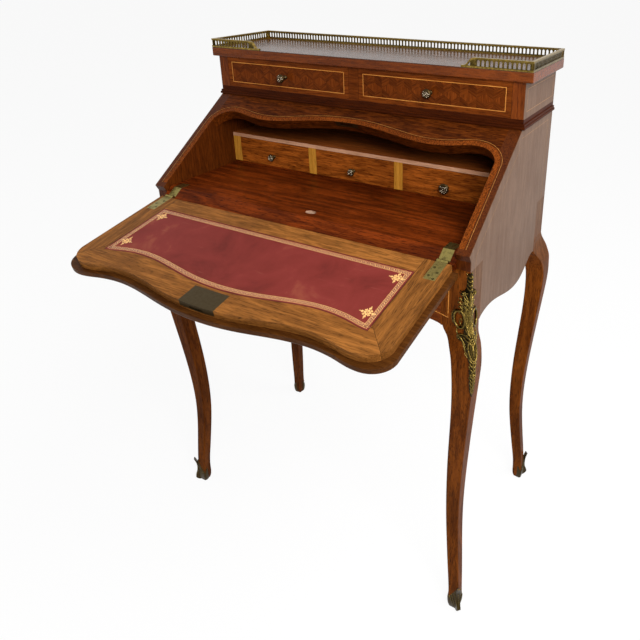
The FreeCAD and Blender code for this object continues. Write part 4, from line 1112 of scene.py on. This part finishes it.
class DESK_OT_drawers(Step, bpy.types.Operator):
    """Veneers the drawer fronts and gives the boxes their plain wood"""

    bl_idname = "desk.drawers"
    bl_label = "Drawers"

    def dress(self, scene):
        t = scene.desk_timber
        for _, name in SIDES:
            front = "frieze_drawer_front_" + name
            window = inner_window(front, scene.desk_inlay.frame_margin)
            paint(parquetry("parquetry_drawer_" + name, t.drawer_veneer, DRAWER_TILE, True, window,
                band_tone=1.3), front)
        paint(timber("walnut_small_fronts", t.nest_wood, ALONG_X, 0.0026, 0.06, 0.016, 0.90),
            "inner_drawer_front")
        paint(timber("plain_oak_boxes", shade(t.hidden_wood, 1.05), ALONG_Y, 0.0018, 0.10, 0.02, 0.4, 0.62,
            0.0, 0.3, 0.25), "frieze_drawer_box", "inner_drawer_box")


def in_fall(node):
    """A place in the fall's own frame."""
    flat = node("Mapping", {"Vector": node("TexCoord").outputs["Object"], "Location": -HINGE})
    return node("Mapping", {"Vector": flat, "Rotation": (-FALL_SAG, 0, 0)})


def fall_wood_material(name, colour):
    """Framed fall: long grain across, with mitred clamps whose grain runs front to back."""
    material, node = new_material(name)
    flat = in_fall(node)
    turned = node("Mapping", {"Vector": flat, "Rotation": ALONG_Y})
    grain = (0.0011, 0.13, 0.018, 0.66, 0.06)
    long_grain, height = grain_pattern(node, flat, colour, *grain)
    clamp_grain = grain_pattern(node, turned, shade(colour, 0.85), *grain)[0]
    x, y, _ = node("SeparateXYZ", [flat]).outputs
    mitre = node("Math", [node("Math", [y, MITRE_START], "ADD"), -MITRE_SLOPE], "MULTIPLY")
    mitre = node("Math", [node("Math", [mitre, 0.0], "MAXIMUM"), CLAMP_SEAM], "ADD")
    outer = node("Math", [node("Math", [x], "ABSOLUTE"), mitre], "SUBTRACT")
    clamp = node("Math", [outer, 0.0], "GREATER_THAN")
    both = node("Mix", [clamp, long_grain, clamp_grain], data_type="RGBA")
    seam = node("Math", [outer, 0.0, 0.0004], "COMPARE")
    seamed = node("Mix", [seam, both, (*shade(colour, 0.25), 1)], data_type="RGBA")
    polished(node, seamed, height, 0.45, 0.02, 0.2, 0.05, 0.18)
    return material


def lip_material(name, wood, veneer):
    """Dark moulded lip, its dark partly the wood and partly a painted shadow line under the board's edge; its
    outer face, seen when the fall is shut, has veneer in two mirrored leaves.
    """
    material, node = new_material(name)
    flat = in_fall(node)
    edge, height = grain_pattern(node, flat, wood, 0.0018, 0.08, 0.02, 0.55)
    x, y, z = node("SeparateXYZ", [flat]).outputs
    leaves = node("CombineXYZ", [node("Math", [x], "ABSOLUTE"), y, z])
    leaves = node("Mapping", {"Vector": leaves, "Rotation": (0, 0, math.radians(38))})
    figured = grain_pattern(node, leaves, veneer, 0.0024, 0.030, 0.026, 0.70)[0]
    under = node("Math", [z, FALL_UNDERSIDE + 0.0006], "LESS_THAN")
    shown = node("Mix", [under, edge, figured], data_type="RGBA")
    polished(node, shown, height, 0.42, 0.03, 0.16, 0.04, 0.14)
    return material


class DESK_OT_fall_timber(Step, bpy.types.Operator):
    """Gives the open fall its framed wood and its darker lip, partly a painted shadow line"""

    bl_idname = "desk.fall_timber"
    bl_label = "Fall timber"

    def dress(self, scene):
        t = scene.desk_timber
        paint(fall_wood_material("framed_oak_fall", t.fall_wood), "fall_board")
        # The lip's dark tone is partly the wood and partly a painted shadow line under the board's edge
        paint(lip_material("fall_lip_walnut", shade(t.fall_wood, 0.26, 0.14), t.drawer_veneer), "fall_lip")


class DESK_OT_metalwork(Step, bpy.types.Operator):
    """Gives mounts, gallery, knobs, hinges and lock their metals"""

    bl_idname = "desk.metalwork"
    bl_label = "Metalwork"

    def dress(self, scene):
        b = scene.desk_bronze
        # The gallery's gilt is rubbed on raised points, which also carry a painted highlight
        paint(metal("gilt_bronze_rubbed_and_highlit", shade(b.gilt_bronze, 0.85, 0.06), linear("#1d180a"), 0.30,
            grit=0.0012, bright=1.9, highlight_and_wear=0.42), "gallery")
        # The knee mounts' ground is dark patina and painted shade, so that the relief stands out against it.
        paint(metal("bronze_ground_patina_and_painted_shade", linear("#2c2311"), linear("#0e0b05"), 0.46), "knee_mount")
        paint(metal("patinated_bronze", b.dark_bronze, linear("#1c160a"), 0.38), *KNOBS, "shoe")
        paint(metal("old_rolled_brass", b.hinge_brass, linear("#1f1b0c"), 0.30, 0.0001, bright=2.2,
            highlight_and_wear=0.56), "hinge")
        paint(metal("dull_lock_plate", b.lock_metal, linear("#3a3123"), 0.46, 0.0001), "lock")


# Stage

WHITE = (1, 1, 1, 1)
LENS_SHIFT = (-0.11993, -0.16180)
LIT_PLACE = Vector((0, 0, 0.6))
# Soft boxes: place, size in metres and power in watts
SOFT_BOXES = (("key_softbox", (1.20, -1.00, 1.60), 1.0, 31.0), ("fill_softbox", (-2.4, -1.6, 1.8), 1.8, 1.2),
    ("top_softbox", (1.20, 0.3, 2.3), 1.4, 28.0))


def seen_rays(node):
    """1 for rays from the camera and for those that metal and polish reflect, 0 for the light's own."""
    rays = node("LightPath")
    seen = rays.outputs["Is Camera Ray"]
    for kind in ("Is Glossy Ray", "Is Transmission Ray"):
        seen = node("Math", [seen, rays.outputs[kind]], "MAXIMUM")
    return seen


class DESK_OT_stage(Step, bpy.types.Operator):
    """Sets the pale floor, the soft light and the camera"""

    bl_idname = "desk.stage"
    bl_label = "Stage"

    def dress(self, scene):
        s = scene.desk_stage
        bm = bmesh.new()
        bmesh.ops.create_grid(bm, x_segments=1, y_segments=1, size=30)
        material, node = new_material("matt_studio_paper")
        paper = node("BsdfDiffuse", {"Color": (*s.floor, 1), "Roughness": 0.9})
        glow = node("Emission", {"Color": WHITE, "Strength": 1.0})
        share = node("MapRange", [seen_rays(node), 0.0, 1.0, 1.0, 0.08])
        node("OutputMaterial", [node("MixShader", [share, glow, paper])])
        new_object("studio_floor", bm, [material])
        world = bpy.data.worlds.new("studio_surround")
        world.use_nodes = True
        scene.world = world
        world.node_tree.nodes.clear()
        node = partial(add_node, world.node_tree)
        soft = node("Background", {"Color": WHITE, "Strength": 0.27})
        white = node("Background", {"Color": WHITE, "Strength": 1.0})
        node("OutputWorld", [node("MixShader", [seen_rays(node), soft, white])])
        for name, place, size, power in SOFT_BOXES:
            lamp = bpy.data.lights.new(name, "AREA")
            lamp.size = size
            lamp.energy = power * s.light
            box = bpy.data.objects.new(name, lamp)
            box.location = place
            box.rotation_euler = (LIT_PLACE - box.location).to_track_quat("-Z", "Y").to_euler()
            scene.collection.objects.link(box)
        turn, rise, roll = s.camera_turn, s.camera_rise, s.camera_roll
        back = Vector((math.sin(turn) * math.cos(rise), -math.cos(turn) * math.cos(rise), math.sin(rise)))
        right = Vector((math.cos(turn), math.sin(turn), 0))
        up = back.cross(right)
        across = right * math.cos(roll) + up * math.sin(roll)
        upward = up * math.cos(roll) - right * math.sin(roll)
        lens = bpy.data.cameras.new("photograph_view")
        lens.sensor_width = 36
        lens.lens = s.lens
        lens.shift_x, lens.shift_y = LENS_SHIFT
        camera = bpy.data.objects.new("photograph_view", lens)
        camera.matrix_world = (Matrix.Translation(Vector(s.camera_place))
            @ Matrix((across, upward, back)).transposed().to_4x4())
        scene.collection.objects.link(camera)
        scene.camera = camera
        scene.view_settings.view_transform = "Standard"


class DESK_PT_panel(bpy.types.Panel):
    """The desk's settings and steps"""

    bl_idname = "DESK_PT_panel"
    bl_label = "Slant-front desk"
    bl_space_type = "VIEW_3D"
    bl_region_type = "UI"
    bl_category = "Desk"

    def draw(self, context):
        layout = self.layout
        for key, title in SETTINGS:
            group = getattr(context.scene, key)
            box = layout.box()
            box.label(text=title)
            for prop in group.bl_rna.properties:
                if prop.identifier not in ("rna_type", "name"):
                    box.prop(group, prop.identifier)
        for step in STEPS:
            layout.operator(step.bl_idname)


SETTINGS = (("desk_timber", "Timber"), ("desk_lining", "Lining"), ("desk_inlay", "Inlay"),
    ("desk_bronze", "Metalwork"), ("desk_stage", "Stage"))
GROUPS = (DeskTimberSettings, DeskLiningSettings, DeskInlaySettings, DeskBronzeSettings, DeskStageSettings)
STEPS = (DESK_OT_case_timber, DESK_OT_drawers, DESK_OT_fall_timber, DESK_OT_metalwork,
    DESK_OT_leather_lining, DESK_OT_inlay, DESK_OT_hinge_screws, DESK_OT_mount_relief, DESK_OT_shoe_relief,
    DESK_OT_knob_rosettes, DESK_OT_stage)


def register():
    for item in GROUPS + STEPS + (DESK_PT_panel,):
        bpy.utils.register_class(item)
    for (key, title), group in zip(SETTINGS, GROUPS):
        setattr(bpy.types.Scene, key, PointerProperty(type=group))


def unregister():
    for key, title in SETTINGS:
        delattr(bpy.types.Scene, key)
    for item in reversed(GROUPS + STEPS + (DESK_PT_panel,)):
        bpy.utils.unregister_class(item)


def main():
    register()
    for step in STEPS:
        group, name = step.bl_idname.split(".")
        getattr(getattr(bpy.ops, group), name)()


if __name__ == "__main__":
    main()
